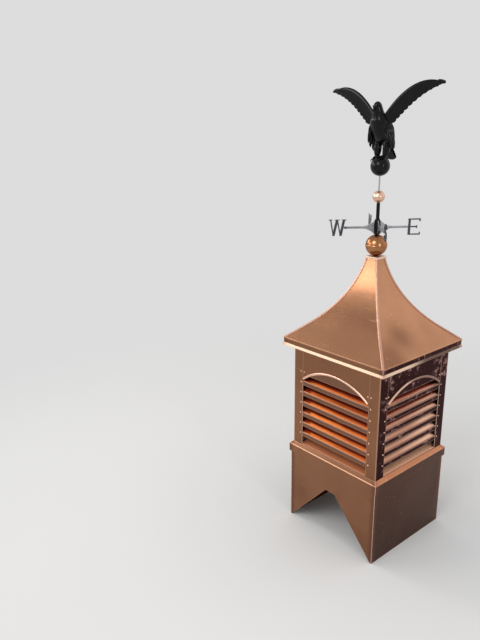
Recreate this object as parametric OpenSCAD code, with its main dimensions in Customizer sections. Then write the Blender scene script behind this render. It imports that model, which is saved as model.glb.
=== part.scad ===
// Louvered copper barn cupola with a swept pyramid roof and a bird weathervane.
// Millimetres, +Z up. The origin is the middle of the base skirt, on the level it rests on.
// The notched side faces -Y.

/* [Sheet metal] */
// Thickness of the copper sheet
sheet_t = 1; // [0.7:0.1:1.4]
// Gap left where one piece seats on a slope or a curve of another
seat_gap = 0.3; // [0.2:0.05:0.5]

/* [Body] */
// Outside width of the louvered body
body_w = 456; // [420:2:500]
// Height of the body from its foot to the eave soffit
body_h = 471; // [444:1:524]
// Width of each leg of the corner posts
post_leg = 51; // [49:1:70]
// Height of the arch's springing above the body's foot
spring_h = 307; // [306:1:329]
// Rise of the arch above its springing
arch_rise = 65; // [40:1:90]
// Width of the half-round bead along the arch
bead_w = 12; // [6:0.5:12]
// Lap of blades and arch panels behind the corner posts
lap_w = 14; // [8:1:24]

/* [Base skirt] */
// Height from the floor to the foot of the body
base_h = 380; // [336:2:426]
// How far the skirt stands out from the body
skirt_out = 7; // [3:0.5:10]
// Width of each foot beside the ridge notch, at the floor
notch_foot = 6; // [4:1:60]
// Height of the ridge notch
notch_h = 226; // [150:2:270]
// Width of the blunt top of the ridge notch
notch_top_w = 50; // [30:2:90]
// Radius of the two upper corners of the notch
notch_r = 9; // [2:1:14]

/* [Collar] */
// How far the collar's hanging lip stands out from the skirt
collar_out = 7; // [4:0.5:12]
// How far the collar falls from the body's foot to its lip
collar_drop = 12.5; // [8:0.5:24]
// Height of the collar's hanging lip
collar_lip = 36; // [20:1:50]
// Width of the flat flange under the body's foot
flange_w = 24; // [12:1:40]

/* [Louvers] */
// Number of blades on each side
blade_count = 7; // [5:1:8]
// Height from one blade to the next
blade_pitch = 48.7; // [44:0.1:49]
// Height of the top of the lowest blade's lip above the body's foot
first_blade = 61; // [54:1:62]
// Height of each blade's hanging lip
blade_lip = 19; // [12:1:24]
// Run of each blade from its lip inwards
blade_run = 38; // [30:1:46]
// Slope of the blades
blade_angle = 42; // [30:1:50]
// Height of the riser in front of the sill
sill_riser = 5; // [4:0.5:14]
// Slope of the sill sheet
sill_angle = 21; // [15:1:40]

/* [Eaves and roof] */
// How far the roof stands out from the body
eave_out = 33.5; // [20:0.5:50]
// Height of the roof from the top of the fascia to its cap
roof_h = 351; // [320:1:375]
// Width of the roof at its top
roof_top_w = 50; // [44:1:60]
// Slope of the straight flare above the eave
eave_angle = 40.5; // [36:0.5:46]
// Run of the straight flare above the eave
flare_run = 65; // [40:1:80]
// Height of the vertical fascia
fascia_h = 22; // [14:1:30]
// Height of the flared drip edge under the fascia
drip_h = 11.5; // [6:0.5:16]
// How far the drip edge flares out
drip_out = 3.5; // [2:0.5:8]
// Width of each half of the seam strip along a hip
rib_w = 7; // [4:0.5:10]
// Thickness of the seam strip along a hip
rib_t = 2.5; // [1:0.5:3]
// Height of the rim of the roof's cap
cap_rim = 8; // [5:1:14]

/* [Mast] */
// Diameter of the large copper ball
ball_d = 87; // [70:1:100]
// Diameter of the small copper ball
small_ball_d = 48; // [36:1:60]
// Width of the raised seam round each ball
seam_w = 2.4; // [1.5:0.1:4]
// Diameter of the steel rod through the finial
rod_d = 6; // [5:0.5:8]
// Length of bare rod between the small ball and the globe
rod_show = 55; // [40:1:80]
// Length of the rod's tail under the roof's cap
rod_tail = 34; // [20:1:60]
// Diameter of the spacer tube
tube_d = 14; // [11:1:18]
// Length of the spacer tube
tube_h = 61; // [40:1:80]
// Diameter of the hub that holds the compass arms
hub_d = 25; // [20:1:34]
// Height of the hub
hub_h = 64; // [56:1:80]
// Running clearance between the rod and its socket, on the radius
spin_gap = 0.05; // [0.02:0.01:0.1]

/* [Compass arms] */
// Distance from the mast to the near side of the letters
arm_reach = 122; // [90:1:150]
// Height of the bar of each arm
arm_bar = 9.5; // [4:0.5:12]
// Thickness of the arms and letters
arm_t = 4; // [3:0.5:6]
// Height of each arm's flared root at the hub
root_h = 54; // [36:1:56]
// Length of each arm's flared root
root_run = 50; // [24:1:60]
// Height of the flared roots above the hub's foot
root_lift = 2; // [1:0.5:6]
// Height of the letters
letter_h = 66; // [50:1:70]
// Width of the letters N, E and S
letter_w = 50; // [40:1:60]
// Width of the letter W
west_w = 71; // [55:1:75]
// Width of the letters' heavy strokes
stroke_w = 11; // [8:0.5:13]
// Width of the letters' light strokes
hairline_w = 6; // [4:0.5:7]
// Turn of the east arm from +X towards +Y
compass_turn = 50; // [0:1:90]

/* [Bird and globe] */
// Diameter of the globe under the bird
globe_d = 76; // [66:1:86]
// Depth of the globe's socket
socket_depth = 58; // [40:1:60]
// Height of the bird from the globe's centre to the top of its head
bird_h = 236; // [220:1:250]
// Span of the raised wings from tip to tip
wing_span = 514; // [460:2:520]
// Height of the wing tips above the globe's centre
wing_tip_z = 284; // [260:1:300]
// Sweep of the wings towards the tail, in degrees
wing_sweep = 5; // [0:1:12]
// Thickness of a wing along its leading edge
wing_t = 12; // [8:0.5:14]
// Number of long feathers along a wing
feather_count = 11; // [8:1:13]
// Thickness of a feather's blade
feather_t = 3; // [2:0.5:4]
// Number of feathers in the tail
tail_count = 7; // [5:2:9]

/* [Hidden] */

// Metal colours
copper = [0.80, 0.48, 0.33];
copper_dark = [0.66, 0.38, 0.25];
black_paint = [0.04, 0.04, 0.045];
cast_grey = [0.72, 0.73, 0.75];
steel = [0.6, 0.6, 0.62];

// Half widths of the square parts
body_r = body_w / 2;
skirt_r = body_r + skirt_out;
collar_r = skirt_r + collar_out;
roof_r = body_r + eave_out;
roof_top_r = roof_top_w / 2;
opening_r = body_r - post_leg;

// Levels from the floor up
spring_z = base_h + spring_h;
soffit_z = base_h + body_h;
eave_z = soffit_z + fascia_h;
roof_top_z = eave_z + roof_h;
cap_z = roof_top_z + sheet_t;

// The collar's slope and where the skirt meets its underside
collar_angle = atan2(collar_drop, collar_r - body_r);
skirt_top_z = base_h - skirt_out * tan(collar_angle) - sheet_t / cos(collar_angle) - seat_gap;

// Circle of the arch in the louvered sides
arch_r = (pow(opening_r, 2) + pow(arch_rise, 2)) / (2 * arch_rise);
arch_z = spring_z + arch_rise - arch_r;

// Roof curve: a straight flare, then one arc that steepens up to the cap
roof_steps = 18;
flare_r = roof_r - flare_run;
flare_z = eave_z + flare_run * tan(eave_angle);
top_angle = 2 * atan2(roof_top_z - flare_z, flare_r - roof_top_r) - eave_angle;
roof_arc = (flare_r - roof_top_r) / (sin(top_angle) - sin(eave_angle));
roof_past = 4;
roof_path = concat(
    [[roof_r + roof_past, eave_z - roof_past * tan(eave_angle)]],
    [for (i = [0:roof_steps])
        let (a = eave_angle + (top_angle - eave_angle) * i / roof_steps)
        [flare_r - roof_arc * (sin(a) - sin(eave_angle)), flare_z + roof_arc * (cos(eave_angle) - cos(a))]],
    [[roof_top_r - roof_past * cos(top_angle), roof_top_z + roof_past * sin(top_angle)]]
);

// Cap round the roof's top, clear of the seam strips
cap_r = roof_top_r + cap_rim / tan(top_angle) + rib_t / sin(top_angle) + sheet_t + seat_gap;

// Mast: each piece stands on the one below it
rod_r = rod_d / 2;
pass_gap = 0.15;
rod_hole_r = rod_r + pass_gap;
function perch(r) = sqrt(pow(r, 2) - pow(rod_hole_r, 2)) + pass_gap;
ball_z = cap_z + perch(ball_d / 2);
hub_z = ball_z + perch(ball_d / 2);
tube_z = hub_z + hub_h;
small_ball_z = tube_z + tube_h + perch(small_ball_d / 2);
globe_z = small_ball_z + perch(small_ball_d / 2) + rod_show + globe_d / 2;
socket_top_z = globe_z - globe_d / 2 + socket_depth;
arm_z = hub_z + root_lift + root_h / 2;
nut_h = 5;
nut_d = 2.2 * rod_d;

// Smoothness of round pieces
$fn = 72;

// Vector along a to b, turned a quarter turn to the left
function side_vector(a, b) = let (d = (b - a) / norm(b - a)) [-d.y, d.x];

// The path moved sideways by t, with mitred corners
function moved_path(path, t) = [
    for (i = [0:len(path) - 1])
        let (last = len(path) - 1)
        let (before = i > 0 ? side_vector(path[i - 1], path[i]) : side_vector(path[0], path[1]))
        let (after = i < last ? side_vector(path[i], path[i + 1]) : before)
        path[i] + t * (before + after) / (1 + before * after)
];

function reversed(list) = [for (i = [len(list) - 1:-1:0]) list[i]];

// Outline of a sheet of thickness t folded along a path
function sheet_outline(path, t) = concat(path, reversed(moved_path(path, t)));

// Arc of radius r that rounds the corner b between a and c
function rounded_corner(a, b, c, r, steps = 5) =
    let (u = (a - b) / norm(a - b), v = (c - b) / norm(c - b))
    let (half = acos(u * v) / 2, middle = b + (u + v) / norm(u + v) * r / sin(half))
    let (p = b + u * r / tan(half) - middle, q = b + v * r / tan(half) - middle)
    [for (i = [0:steps])
        let (w = p * (1 - i / steps) + q * i / steps)
        middle + r * w / norm(w)];

// Quarter of the plan, reaching out to r towards +X, from z1 to z2
module quadrant(r, z1, z2) {
    translate([0, 0, z1])
        linear_extrude(z2 - z1)
            polygon([[0, 0], [r, -r], [r, r]]);
}

// Outline in radius and height, drawn out along Y by the given length
module drawn_out(outline, length) {
    rotate([90, 0, 0])
        linear_extrude(length, center = true)
            polygon(outline);
}

// One side of a square ring, mitred at both ends, facing +X
module mitred_side(outline, r, z1, z2) {
    intersection() {
        drawn_out(outline, 2 * r);
        quadrant(r, z1, z2);
    }
}

// Side 0 faces the front, 1 the right, 2 the back and 3 the left
module on_side(side) {
    rotate([0, 0, 90 * (side - 1)])
        children();
}

// Base skirt

notch_outline = let (
    foot = skirt_r - notch_foot,
    top = notch_top_w / 2,
    left_corner = rounded_corner([-foot, 0], [-top, notch_h], [top, notch_h], notch_r),
    right_corner = rounded_corner([-top, notch_h], [top, notch_h], [foot, 0], notch_r)
) concat([[-foot, 0]], left_corner, right_corner, [[foot, 0]]);

module notched_skirt() {
    color(copper)
        translate([0, -skirt_r + sheet_t, 0])
            rotate([90, 0, 0])
                linear_extrude(sheet_t)
                    polygon(concat(
                        [[-skirt_r, 0]],
                        notch_outline,
                        [[skirt_r, 0], [skirt_r, skirt_top_z], [-skirt_r, skirt_top_z]]
                    ));
}

module plain_skirt() {
    color(copper)
        translate([skirt_r - sheet_t, -skirt_r + sheet_t, 0])
            cube([sheet_t, 2 * (skirt_r - sheet_t), skirt_top_z]);
}

module front_skirt() {
    notched_skirt();
}

module back_skirt() {
    rotate([0, 0, 180])
        notched_skirt();
}

module right_skirt() {
    plain_skirt();
}

module left_skirt() {
    rotate([0, 0, 180])
        plain_skirt();
}

// Sloped collar that sheds water over the skirt
module base_collar() {
    path = [
        [body_r - flange_w, base_h],
        [body_r, base_h],
        [collar_r, base_h - collar_drop],
        [collar_r, base_h - collar_drop - collar_lip]
    ];
    color(copper)
        for (side = [0:3])
            on_side(side)
                mitred_side(sheet_outline(path, -sheet_t), collar_r + sheet_t,
                    base_h - collar_drop - collar_lip, base_h);
}

// Body

// Folded corner post at the front right
module corner_post() {
    color(copper)
        translate([body_r, -body_r, base_h])
            linear_extrude(body_h)
                polygon([
                    [0, 0], [0, post_leg], [-sheet_t, post_leg],
                    [-sheet_t, sheet_t], [-post_leg, sheet_t], [-post_leg, 0]
                ]);
}

module front_right_post() {
    corner_post();
}

module back_right_post() {
    rotate([0, 0, 90])
        corner_post();
}

module back_left_post() {
    rotate([0, 0, 180])
        corner_post();
}

module front_left_post() {
    rotate([0, 0, 270])
        corner_post();
}

// Panel over the louvers with the arch cut out, lapped behind the posts
module arch_panel(side) {
    half = opening_r + lap_w;
    color(copper)
        on_side(side)
            translate([body_r - 2 * sheet_t, 0, 0])
                rotate([90, 0, 90])
                    linear_extrude(sheet_t)
                        difference() {
                            translate([-half, spring_z])
                                square([2 * half, soffit_z - spring_z]);
                            translate([0, arch_z])
                                circle(arch_r, $fn = 180);
                        }
}

module front_arch_panel() {
    arch_panel(0);
}

module right_arch_panel() {
    arch_panel(1);
}

module back_arch_panel() {
    arch_panel(2);
}

module left_arch_panel() {
    arch_panel(3);
}

// Half-round bead on the face of each arch panel, along the arch
module arch_beads() {
    bead_r = bead_w / 2;
    sweep = asin((opening_r - seat_gap) / (arch_r + bead_w));
    color(copper)
        for (side = [0:3])
            on_side(side)
                translate([body_r - sheet_t, 0, arch_z])
                    rotate([90, 0, 90])
                        rotate([0, 0, 90 - sweep])
                            rotate_extrude(angle = 2 * sweep, $fn = 180)
                                translate([arch_r + bead_r, 0])
                                    intersection() {
                                        circle(bead_r, $fn = 32);
                                        translate([-bead_r, 0])
                                            square([bead_w, bead_r]);
                                    }
}

// Sheet with a hanging lip and a slope that rises inwards, its lip's top at z.
// Both lap behind the posts, the slope as far as its neighbours round the corner allow.
module blade(z, lip, angle, lip_r) {
    slope_half = min(opening_r + lap_w, body_r - 3 * sheet_t - blade_run);
    path = [[lip_r, z - lip], [lip_r, z], [lip_r - blade_run, z + blade_run * tan(angle)]];
    drawn_out(sheet_outline(path, sheet_t), 2 * slope_half);
    translate([lip_r - sheet_t, -opening_r - lap_w, z - lip])
        cube([sheet_t, 2 * (opening_r + lap_w), lip - sheet_t]);
}

// Blades that reach up behind the arch panel stand one sheet further in
module louvers(side) {
    color(copper_dark)
        on_side(side)
            for (i = [0:blade_count - 1]) {
                h = first_blade + i * blade_pitch;
                behind_arch = h + 2 * sheet_t > spring_h;
                blade(base_h + h, blade_lip, blade_angle, body_r - (behind_arch ? 2 : 1) * sheet_t);
            }
}

module front_louvers() {
    louvers(0);
}

module right_louvers() {
    louvers(1);
}

module back_louvers() {
    louvers(2);
}

module left_louvers() {
    louvers(3);
}

// Sloping sheet at the foot of each opening, on the collar's flange
module louver_sills() {
    color(copper)
        for (side = [0:3])
            on_side(side)
                blade(base_h + sill_riser, sill_riser, sill_angle, body_r - sheet_t);
}

// Eaves and roof

module eave_soffit() {
    inner_r = body_r - flange_w;
    path = [[inner_r, soffit_z], [roof_r - sheet_t, soffit_z]];
    color(copper_dark)
        for (side = [0:3])
            on_side(side)
                mitred_side(sheet_outline(path, sheet_t), roof_r, soffit_z, soffit_z + sheet_t);
}

// Fascia with its flared drip edge, in one fold
module eave_fascia() {
    path = [[roof_r + drip_out, soffit_z - drip_h], [roof_r, soffit_z], [roof_r, eave_z]];
    color(copper)
        for (side = [0:3])
            on_side(side)
                mitred_side(sheet_outline(path, sheet_t), roof_r + drip_out + sheet_t,
                    soffit_z - drip_h, eave_z);
}

// One swept panel of the roof, standing on the fascia
module roof_panel(side) {
    color(copper)
        on_side(side)
            mitred_side(sheet_outline(roof_path, sheet_t), roof_r, eave_z, roof_top_z);
}

module front_roof() {
    roof_panel(0);
}

module right_roof() {
    roof_panel(1);
}

module back_roof() {
    roof_panel(2);
}

module left_roof() {
    roof_panel(3);
}

// Half of a hip's seam strip, laid on the panel that faces +X beside its +Y end
module hip_seam_half() {
    reach = roof_r + rib_t + roof_past;
    intersection() {
        drawn_out(sheet_outline(roof_path, -rib_t), 2 * reach);
        translate([0, 0, eave_z])
            linear_extrude(roof_h)
                polygon([[rib_w, 0], [rib_w, rib_w], [reach, reach], [reach, reach - rib_w]]);
    }
}

module hip_seams() {
    color(copper)
        for (side = [0:3])
            on_side(side) {
                hip_seam_half();
                mirror([1, -1, 0])
                    hip_seam_half();
            }
}

// Square cap with a short rim, pierced for the rod
module roof_cap() {
    path = [[cap_r, cap_z - sheet_t - cap_rim], [cap_r, cap_z], [0, cap_z]];
    color(copper)
        difference() {
            for (side = [0:3])
                on_side(side)
                    mitred_side(sheet_outline(path, sheet_t), cap_r, cap_z - sheet_t - cap_rim, cap_z);
            translate([0, 0, cap_z - 2 * sheet_t])
                cylinder(h = 3 * sheet_t, r = rod_hole_r);
        }
}

// Mast

// Hollow spun ball with a raised seam round its middle, threaded on the rod
module spun_ball(d) {
    difference() {
        union() {
            sphere(d = d);
            cylinder(h = seam_w, d = d + sheet_t, center = true);
        }
        sphere(d = d - 2 * sheet_t);
        cylinder(h = 2 * d, r = rod_hole_r, center = true);
    }
}

module large_ball() {
    color(copper_dark)
        translate([0, 0, ball_z])
            spun_ball(ball_d);
}

module small_ball() {
    color(copper)
        translate([0, 0, small_ball_z])
            spun_ball(small_ball_d);
}

// Turned hub: a foot ring, a barrel for the arms and a shoulder up to the tube
module compass_hub() {
    foot_h = 4;
    shoulder_h = 8;
    color(black_paint)
        translate([0, 0, hub_z])
            rotate_extrude()
                polygon([
                    [rod_hole_r, 0],
                    [hub_d / 2 - foot_h / 2, 0],
                    [hub_d / 2, foot_h],
                    [hub_d / 2, hub_h - shoulder_h],
                    [tube_d / 2, hub_h],
                    [rod_hole_r, hub_h]
                ]);
}

module spacer_tube() {
    color(black_paint)
        translate([0, 0, tube_z])
            difference() {
                cylinder(h = tube_h, d = tube_d);
                translate([0, 0, -1])
                    cylinder(h = tube_h + 2, r = rod_hole_r);
            }
}

// Rod from under the cap up into the globe's socket, with its nut against the cap
module mast_rod() {
    bottom_z = roof_top_z - rod_tail;
    color(steel)
        union() {
            translate([0, 0, bottom_z])
                cylinder(h = socket_top_z - seat_gap - bottom_z, r = rod_r);
            translate([0, 0, roof_top_z - nut_h])
                cylinder(h = nut_h, d = nut_d, $fn = 6);
        }
}

// Compass arms: flat castings, each with a flared root, a bar and a letter.
// Letters are drawn from x = 0, centred on y = 0.

// Stroke with level ends between p and q
module stroke(p, q, w) {
    low = p.y < q.y ? p : q;
    high = p.y < q.y ? q : p;
    half = [w / 2, 0];
    polygon([low - half, low + half, high + half, high - half]);
}

// Serif on the end of a stroke that reaches height y, over or under the letter's middle
module serif(x, w, y) {
    serif_h = 0.7 * hairline_w;
    spread = w / 2 + serif_h;
    translate([x - spread, y > 0 ? y - serif_h : y])
        square([2 * spread, serif_h]);
}

module letter_north() {
    top = letter_h / 2;
    left = hairline_w;
    right = letter_w - hairline_w;
    stroke([left, -top], [left, top], hairline_w);
    stroke([right, -top], [right, top], hairline_w);
    stroke([left + hairline_w / 2, top], [right - hairline_w / 2, -top], stroke_w);
    serif(left, hairline_w, -top);
    serif(left, hairline_w, top);
    serif(right, hairline_w, top);
}

module letter_east() {
    top = letter_h / 2;
    tick = 2 * hairline_w;
    translate([0, -top])
        square([stroke_w, letter_h]);
    for (y = [-top, -hairline_w / 2, top - hairline_w])
        translate([0, y])
            square([letter_w * (y == -hairline_w / 2 ? 0.7 : 1), hairline_w]);
    for (y = [-top, top - tick])
        translate([letter_w - hairline_w, y])
            square([hairline_w, tick]);
    translate([letter_w * 0.7 - hairline_w / 2, -tick / 2])
        square([hairline_w, tick]);
}

module letter_west() {
    top = letter_h / 2;
    xs = [stroke_w, west_w * 0.34, west_w * 0.54, west_w * 0.74, west_w - hairline_w];
    stroke([xs[0], top], [xs[1], -top], stroke_w);
    stroke([xs[1], -top], [xs[2], top], hairline_w);
    stroke([xs[2], top], [xs[3], -top], stroke_w);
    stroke([xs[3], -top], [xs[4], top], hairline_w);
    serif(xs[0], stroke_w, top);
    serif(xs[2], stroke_w, top);
    serif(xs[4], hairline_w, top);
}

// Part of a ring between two directions, in degrees from +X
module ring_sector(r1, r2, a1, a2) {
    steps = 12;
    polygon(concat(
        [for (i = [0:steps]) let (a = a1 + (a2 - a1) * i / steps) r2 * [cos(a), sin(a)]],
        [for (i = [steps:-1:0]) let (a = a1 + (a2 - a1) * i / steps) r1 * [cos(a), sin(a)]]
    ));
}

module letter_south() {
    bowl_r = (letter_h + stroke_w) / 4;
    for (turn = [0, 180])
        translate([letter_w / 2, 0])
            rotate(turn)
                translate([0, bowl_r - stroke_w / 2]) {
                    ring_sector(bowl_r - stroke_w, bowl_r, 20, 270);
                    rotate(20)
                        translate([bowl_r - stroke_w / 2, -stroke_w * 0.2])
                            square([stroke_w * 1.1, stroke_w * 0.8], center = true);
                }
}

// Flared root against the hub and bar out to the letter, along +X
module arm_outline() {
    bar = arm_bar / 2;
    rise = root_h / 2 - bar;
    flare = (pow(root_run, 2) + pow(rise, 2)) / (2 * rise);
    start = hub_d / 2 + seat_gap;
    difference() {
        translate([start, -root_h / 2])
            square([root_run, root_h]);
        for (s = [-1, 1])
            translate([start + root_run, s * (bar + flare)])
                circle(flare, $fn = 96);
    }
    translate([start + root_run / 2, -bar])
        square([arm_reach - start - root_run / 2 + stroke_w, arm_bar]);
}

module compass_arm(turn) {
    color(cast_grey)
        translate([0, 0, arm_z])
            rotate([0, 0, compass_turn + turn])
                rotate([90, 0, 0])
                    linear_extrude(arm_t, center = true) {
                        arm_outline();
                        translate([arm_reach, 0])
                            children();
                    }
}

module east_arm() {
    compass_arm(0)
        letter_east();
}

module north_arm() {
    compass_arm(90)
        letter_north();
}

module west_arm() {
    compass_arm(180)
        letter_west();
}

module south_arm() {
    compass_arm(270)
        letter_south();
}

// Bird and globe. The bird faces -Y and its sizes are measured from the globe's centre.

body_k = bird_h / 236;
globe_r = globe_d / 2;

module vane_globe() {
    color(black_paint)
        translate([0, 0, globe_z])
            difference() {
                sphere(d = globe_d);
                translate([0, 0, -globe_d])
                    cylinder(h = globe_d / 2 + socket_depth, r = rod_r + spin_gap);
            }
}

// Point on a smooth curve through p1 and p2 with p0 and p3 as its neighbours
function curve_point(p0, p1, p2, p3, t) =
    0.5 * (2 * p1 + (p2 - p0) * t + (2 * p0 - 5 * p1 + 4 * p2 - p3) * t * t
        + (3 * p1 - p0 - 3 * p2 + p3) * t * t * t);

// Smooth curve through a list of points, with the given steps between them
function curve(points, steps) =
    let (last = len(points) - 1)
    [for (i = [0:last - 1], k = [0:steps - (i == last - 1 ? 0 : 1)])
        curve_point(points[max(i - 1, 0)], points[i], points[i + 1], points[min(i + 2, last)], k / steps)];

function bezier(p, t) =
    pow(1 - t, 3) * p[0] + 3 * t * pow(1 - t, 2) * p[1] + 3 * t * t * (1 - t) * p[2] + pow(t, 3) * p[3];

// Solid through a stack of rings with the same number of points, each one
// counter-clockwise when seen from the last ring's end
module skin(rings) {
    n = len(rings[0]);
    last = len(rings) - 1;
    polyhedron(
        points = [for (ring = rings) for (p = ring) p],
        faces = concat(
            [[for (k = [0:n - 1]) k]],
            [for (j = [0:last - 1], k = [0:n - 1])
                [j * n + k, (j + 1) * n + k, (j + 1) * n + (k + 1) % n, j * n + (k + 1) % n]],
            [[for (k = [n - 1:-1:0]) last * n + k]]
        )
    );
}

// Level ellipse with n points
function ellipse(x, y, z, rx, ry, n) = [
    for (k = [0:n - 1])
        let (a = 360 * k / n)
        [x + rx * cos(a), y + ry * sin(a), z]
];

// Upright lofted form from rows of [x, y, z, rx, ry]
module lofted(rows, steps, n, grow = 0) {
    skin([for (row = curve(rows, steps))
        ellipse(row[0], row[1], row[2], row[3] + grow, row[4] + grow, n)]);
}

torso_rows = body_k * [
    [0, 15, 84, 15, 12],
    [0, 13, 93, 32, 27],
    [0, 8, 110, 40, 35],
    [0, 0, 136, 44, 38],
    [0, -9, 160, 43, 37],
    [0, -18, 180, 32, 28],
    [0, -26, 198, 21, 21],
    [0, -31, 214, 17, 19],
    [0, -33, 227, 13, 15],
    [0, -33, 234.5, 6, 7],
    [0, -33, 236, 1, 1.2]
];

module torso(grow = 0) {
    lofted(torso_rows, 2, 24, grow);
}

// Hooked beak, lofted from its tip back into the head
module beak() {
    rows = body_k * [
        [-59, 199, 1],
        [-57, 204, 3.2],
        [-52, 210, 5.6],
        [-40, 214, 8]
    ];
    skin([for (row = rows)
        [for (k = [0:9]) let (a = 36 * k)
            [row[2] * cos(a), row[0], row[1] - row[2] * sin(a)]]]);
}

// Feathers that hang from the shoulder over the thigh like a folded cape, in three steps down towards
// the tail. Each row gives y, the height of the lower edge and how far out it stands.
cape_rows = [
    [-31, 110, 42], [-27, 96, 45], [-22, 87, 48], [-16, 98, 49], [-10, 77, 50], [-5, 71, 50.5],
    [2, 85, 50.5], [8, 63, 50], [13, 57, 49], [19, 72, 47], [25, 67, 44.5], [31, 84, 41]
];
cape_top = 158;

// Section of the cape: share of its height, inner face and outer face
cape_form = [[0, -4, -1.5], [0.08, -5, 0], [0.25, -10, 1.2], [0.7, -14, 2.2], [0.9, -14, 1.2], [1, -15, -6]];

// Half width of the shoulders at y
function shoulder_x(y) = 43 * sqrt(1 - pow((y + 3) / 38, 2));

module side_cape() {
    last = len(cape_form) - 1;
    skin([for (row = cape_rows)
        let (
            foot = [row[2], row[0], row[1]],
            rise = [shoulder_x(row[0]), row[0], cape_top - 0.45 * max(0, row[0] - 3)] - foot
        )
        body_k * concat(
            [for (i = [0:last]) foot + rise * cape_form[i][0] + [cape_form[i][1], 0, 0]],
            [for (i = [last:-1:0]) foot + rise * cape_form[i][0] + [cape_form[i][2], 0, 0]]
        )]);
}

module bird_body() {
    color(black_paint)
        translate([0, 0, globe_z]) {
            torso();
            beak();
            side_cape();
            mirror([1, 0, 0])
                side_cape();
        }
}

// Leg with its feathered thigh and four toes round the globe. s is -1 or 1 along X.
module leg(s) {
    ankle = [s * 20, 2, 0] * body_k + [0, 0, globe_r + 2];
    toe = 20 * body_k;
    difference() {
        union() {
            lofted(body_k * [
                [s * 19, 3, 36, 9, 10],
                [s * 19.5, 4, 46, 12.5, 13],
                [s * 20.5, 6, 64, 14.5, 16],
                [s * 21, 8, 84, 14.5, 17],
                [s * 20, 9, 102, 12, 17]
            ], 2, 16);
            for (turn = [-34, 0, 34, 180])
                hull() {
                    translate(ankle)
                        sphere(d = 10 * body_k, $fn = 10);
                    translate(ankle + [toe * sin(turn), -toe * cos(turn), -0.55 * toe])
                        sphere(d = 6.5 * body_k, $fn = 10);
                }
        }
        torso(seat_gap);
        sphere(r = globe_r + seat_gap, $fn = 96);
    }
}

module bird_left_leg() {
    color(black_paint)
        translate([0, 0, globe_z])
            leg(1);
}

module bird_right_leg() {
    color(black_paint)
        translate([0, 0, globe_z])
            leg(-1);
}

// Outline of a feather from base to tip, in a plane, w wide at its widest
feather_form = [
    [0, -0.3], [0.35, -0.42], [0.7, -0.5], [0.88, -0.42], [0.97, -0.22], [1, 0],
    [0.97, 0.22], [0.88, 0.42], [0.7, 0.5], [0.35, 0.42], [0, 0.3]
];

module feather(base, tip, w) {
    d = tip - base;
    n = [-d.y, d.x] / norm(d);
    polygon([for (p = feather_form) base + d * p[0] + n * w * p[1]]);
}

// Fan tail, slanting down behind the globe from the rump, its middle feather on top
module bird_tail() {
    slope = 63;
    half = (tail_count - 1) / 2;
    spread = 15 / half;
    reach = 78 * body_k;
    color(black_paint)
        translate([0, 0, globe_z])
            difference() {
                union() {
                    lofted(body_k * [
                        [0, 52, 51, 13, 4],
                        [0, 42, 66, 17, 8],
                        [0, 30, 84, 19, 12],
                        [0, 20, 100, 18, 12]
                    ], 2, 16);
                    translate([0, 35, 88] * body_k)
                        rotate([-slope, 0, 0])
                            for (i = [-half:half])
                                translate([0, 0, -abs(i) * 0.35 * feather_t])
                                    linear_extrude(feather_t)
                                        feather([3 * i, 0] * body_k,
                                            reach * [sin(spread * i), cos(spread * i)], 15 * body_k);
                }
                torso(seat_gap);
            }
}

// Raised wing towards +X, drawn in its own plane with its leading edge along
// one curve and its feathers' tips along another
module wing() {
    tip = [wing_span / 2 / cos(wing_sweep), wing_tip_z];
    root_z = 163 * body_k;
    lead = [
        [20 * body_k, root_z + 24 * body_k], [0.32 * tip.x, root_z + 110 * body_k],
        [0.66 * tip.x, tip.y + 42 * body_k], tip
    ];
    trail = [
        [20 * body_k, root_z - 36 * body_k], [0.34 * tip.x, root_z + 18 * body_k],
        [0.585 * tip.x, tip.y - 30 * body_k], tip
    ];
    steps = 16;
    last = feather_count - 1;
    difference() {
        translate([0, -19 * body_k, 0])
            rotate([90, 0, wing_sweep]) {
                wing_blade(lead, trail, steps);
                for (i = [0:last]) {
                    t = i / last;
                    tip_point = bezier(trail, 0.17 + 0.83 * t);
                    translate([0, 0, feather_t * (0.7 * t - 0.85)])
                        linear_extrude(feather_t)
                            feather(bezier(lead, 0.06 + 0.78 * t) * 0.7 + tip_point * 0.3, tip_point,
                                (34 - 17 * t) * body_k);
                }
                for (i = [0:last - 1]) {
                    t = i / last;
                    cover_t = wing_t * (0.62 - 0.3 * t);
                    base = bezier(lead, 0.05 + 0.8 * t);
                    mid = (bezier(lead, 0.16 + 0.8 * t) + bezier(trail, 0.18 + 0.8 * t)) / 2;
                    translate([0, 0, -cover_t / 2])
                        linear_extrude(cover_t)
                            feather(base * 0.75 + mid * 0.25, mid, (26 - 13 * t) * body_k);
                }
            }
        torso(seat_gap);
    }
}

// Body of a wing, thick along the leading edge and thin where the feathers leave it
module wing_blade(lead, trail, steps) {
    form = [[0, 0], [0.06, 0.38], [0.2, 0.5], [0.45, 0.34], [0.92, 0.1],
        [0.92, -0.1], [0.45, -0.34], [0.2, -0.5], [0.06, -0.38]];
    skin([for (i = [0:steps])
        let (t = 0.97 * i / steps, thick = wing_t * (1 - 0.6 * t))
        let (a = bezier(lead, t), b = bezier(trail, t))
        [for (p = form) [a.x + (b.x - a.x) * p[0], a.y + (b.y - a.y) * p[0], thick * p[1]]]]);
}

module bird_left_wing() {
    color(black_paint)
        translate([0, 0, globe_z])
            wing();
}

module bird_right_wing() {
    color(black_paint)
        translate([0, 0, globe_z])
            mirror([1, 0, 0])
                wing();
}

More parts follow.
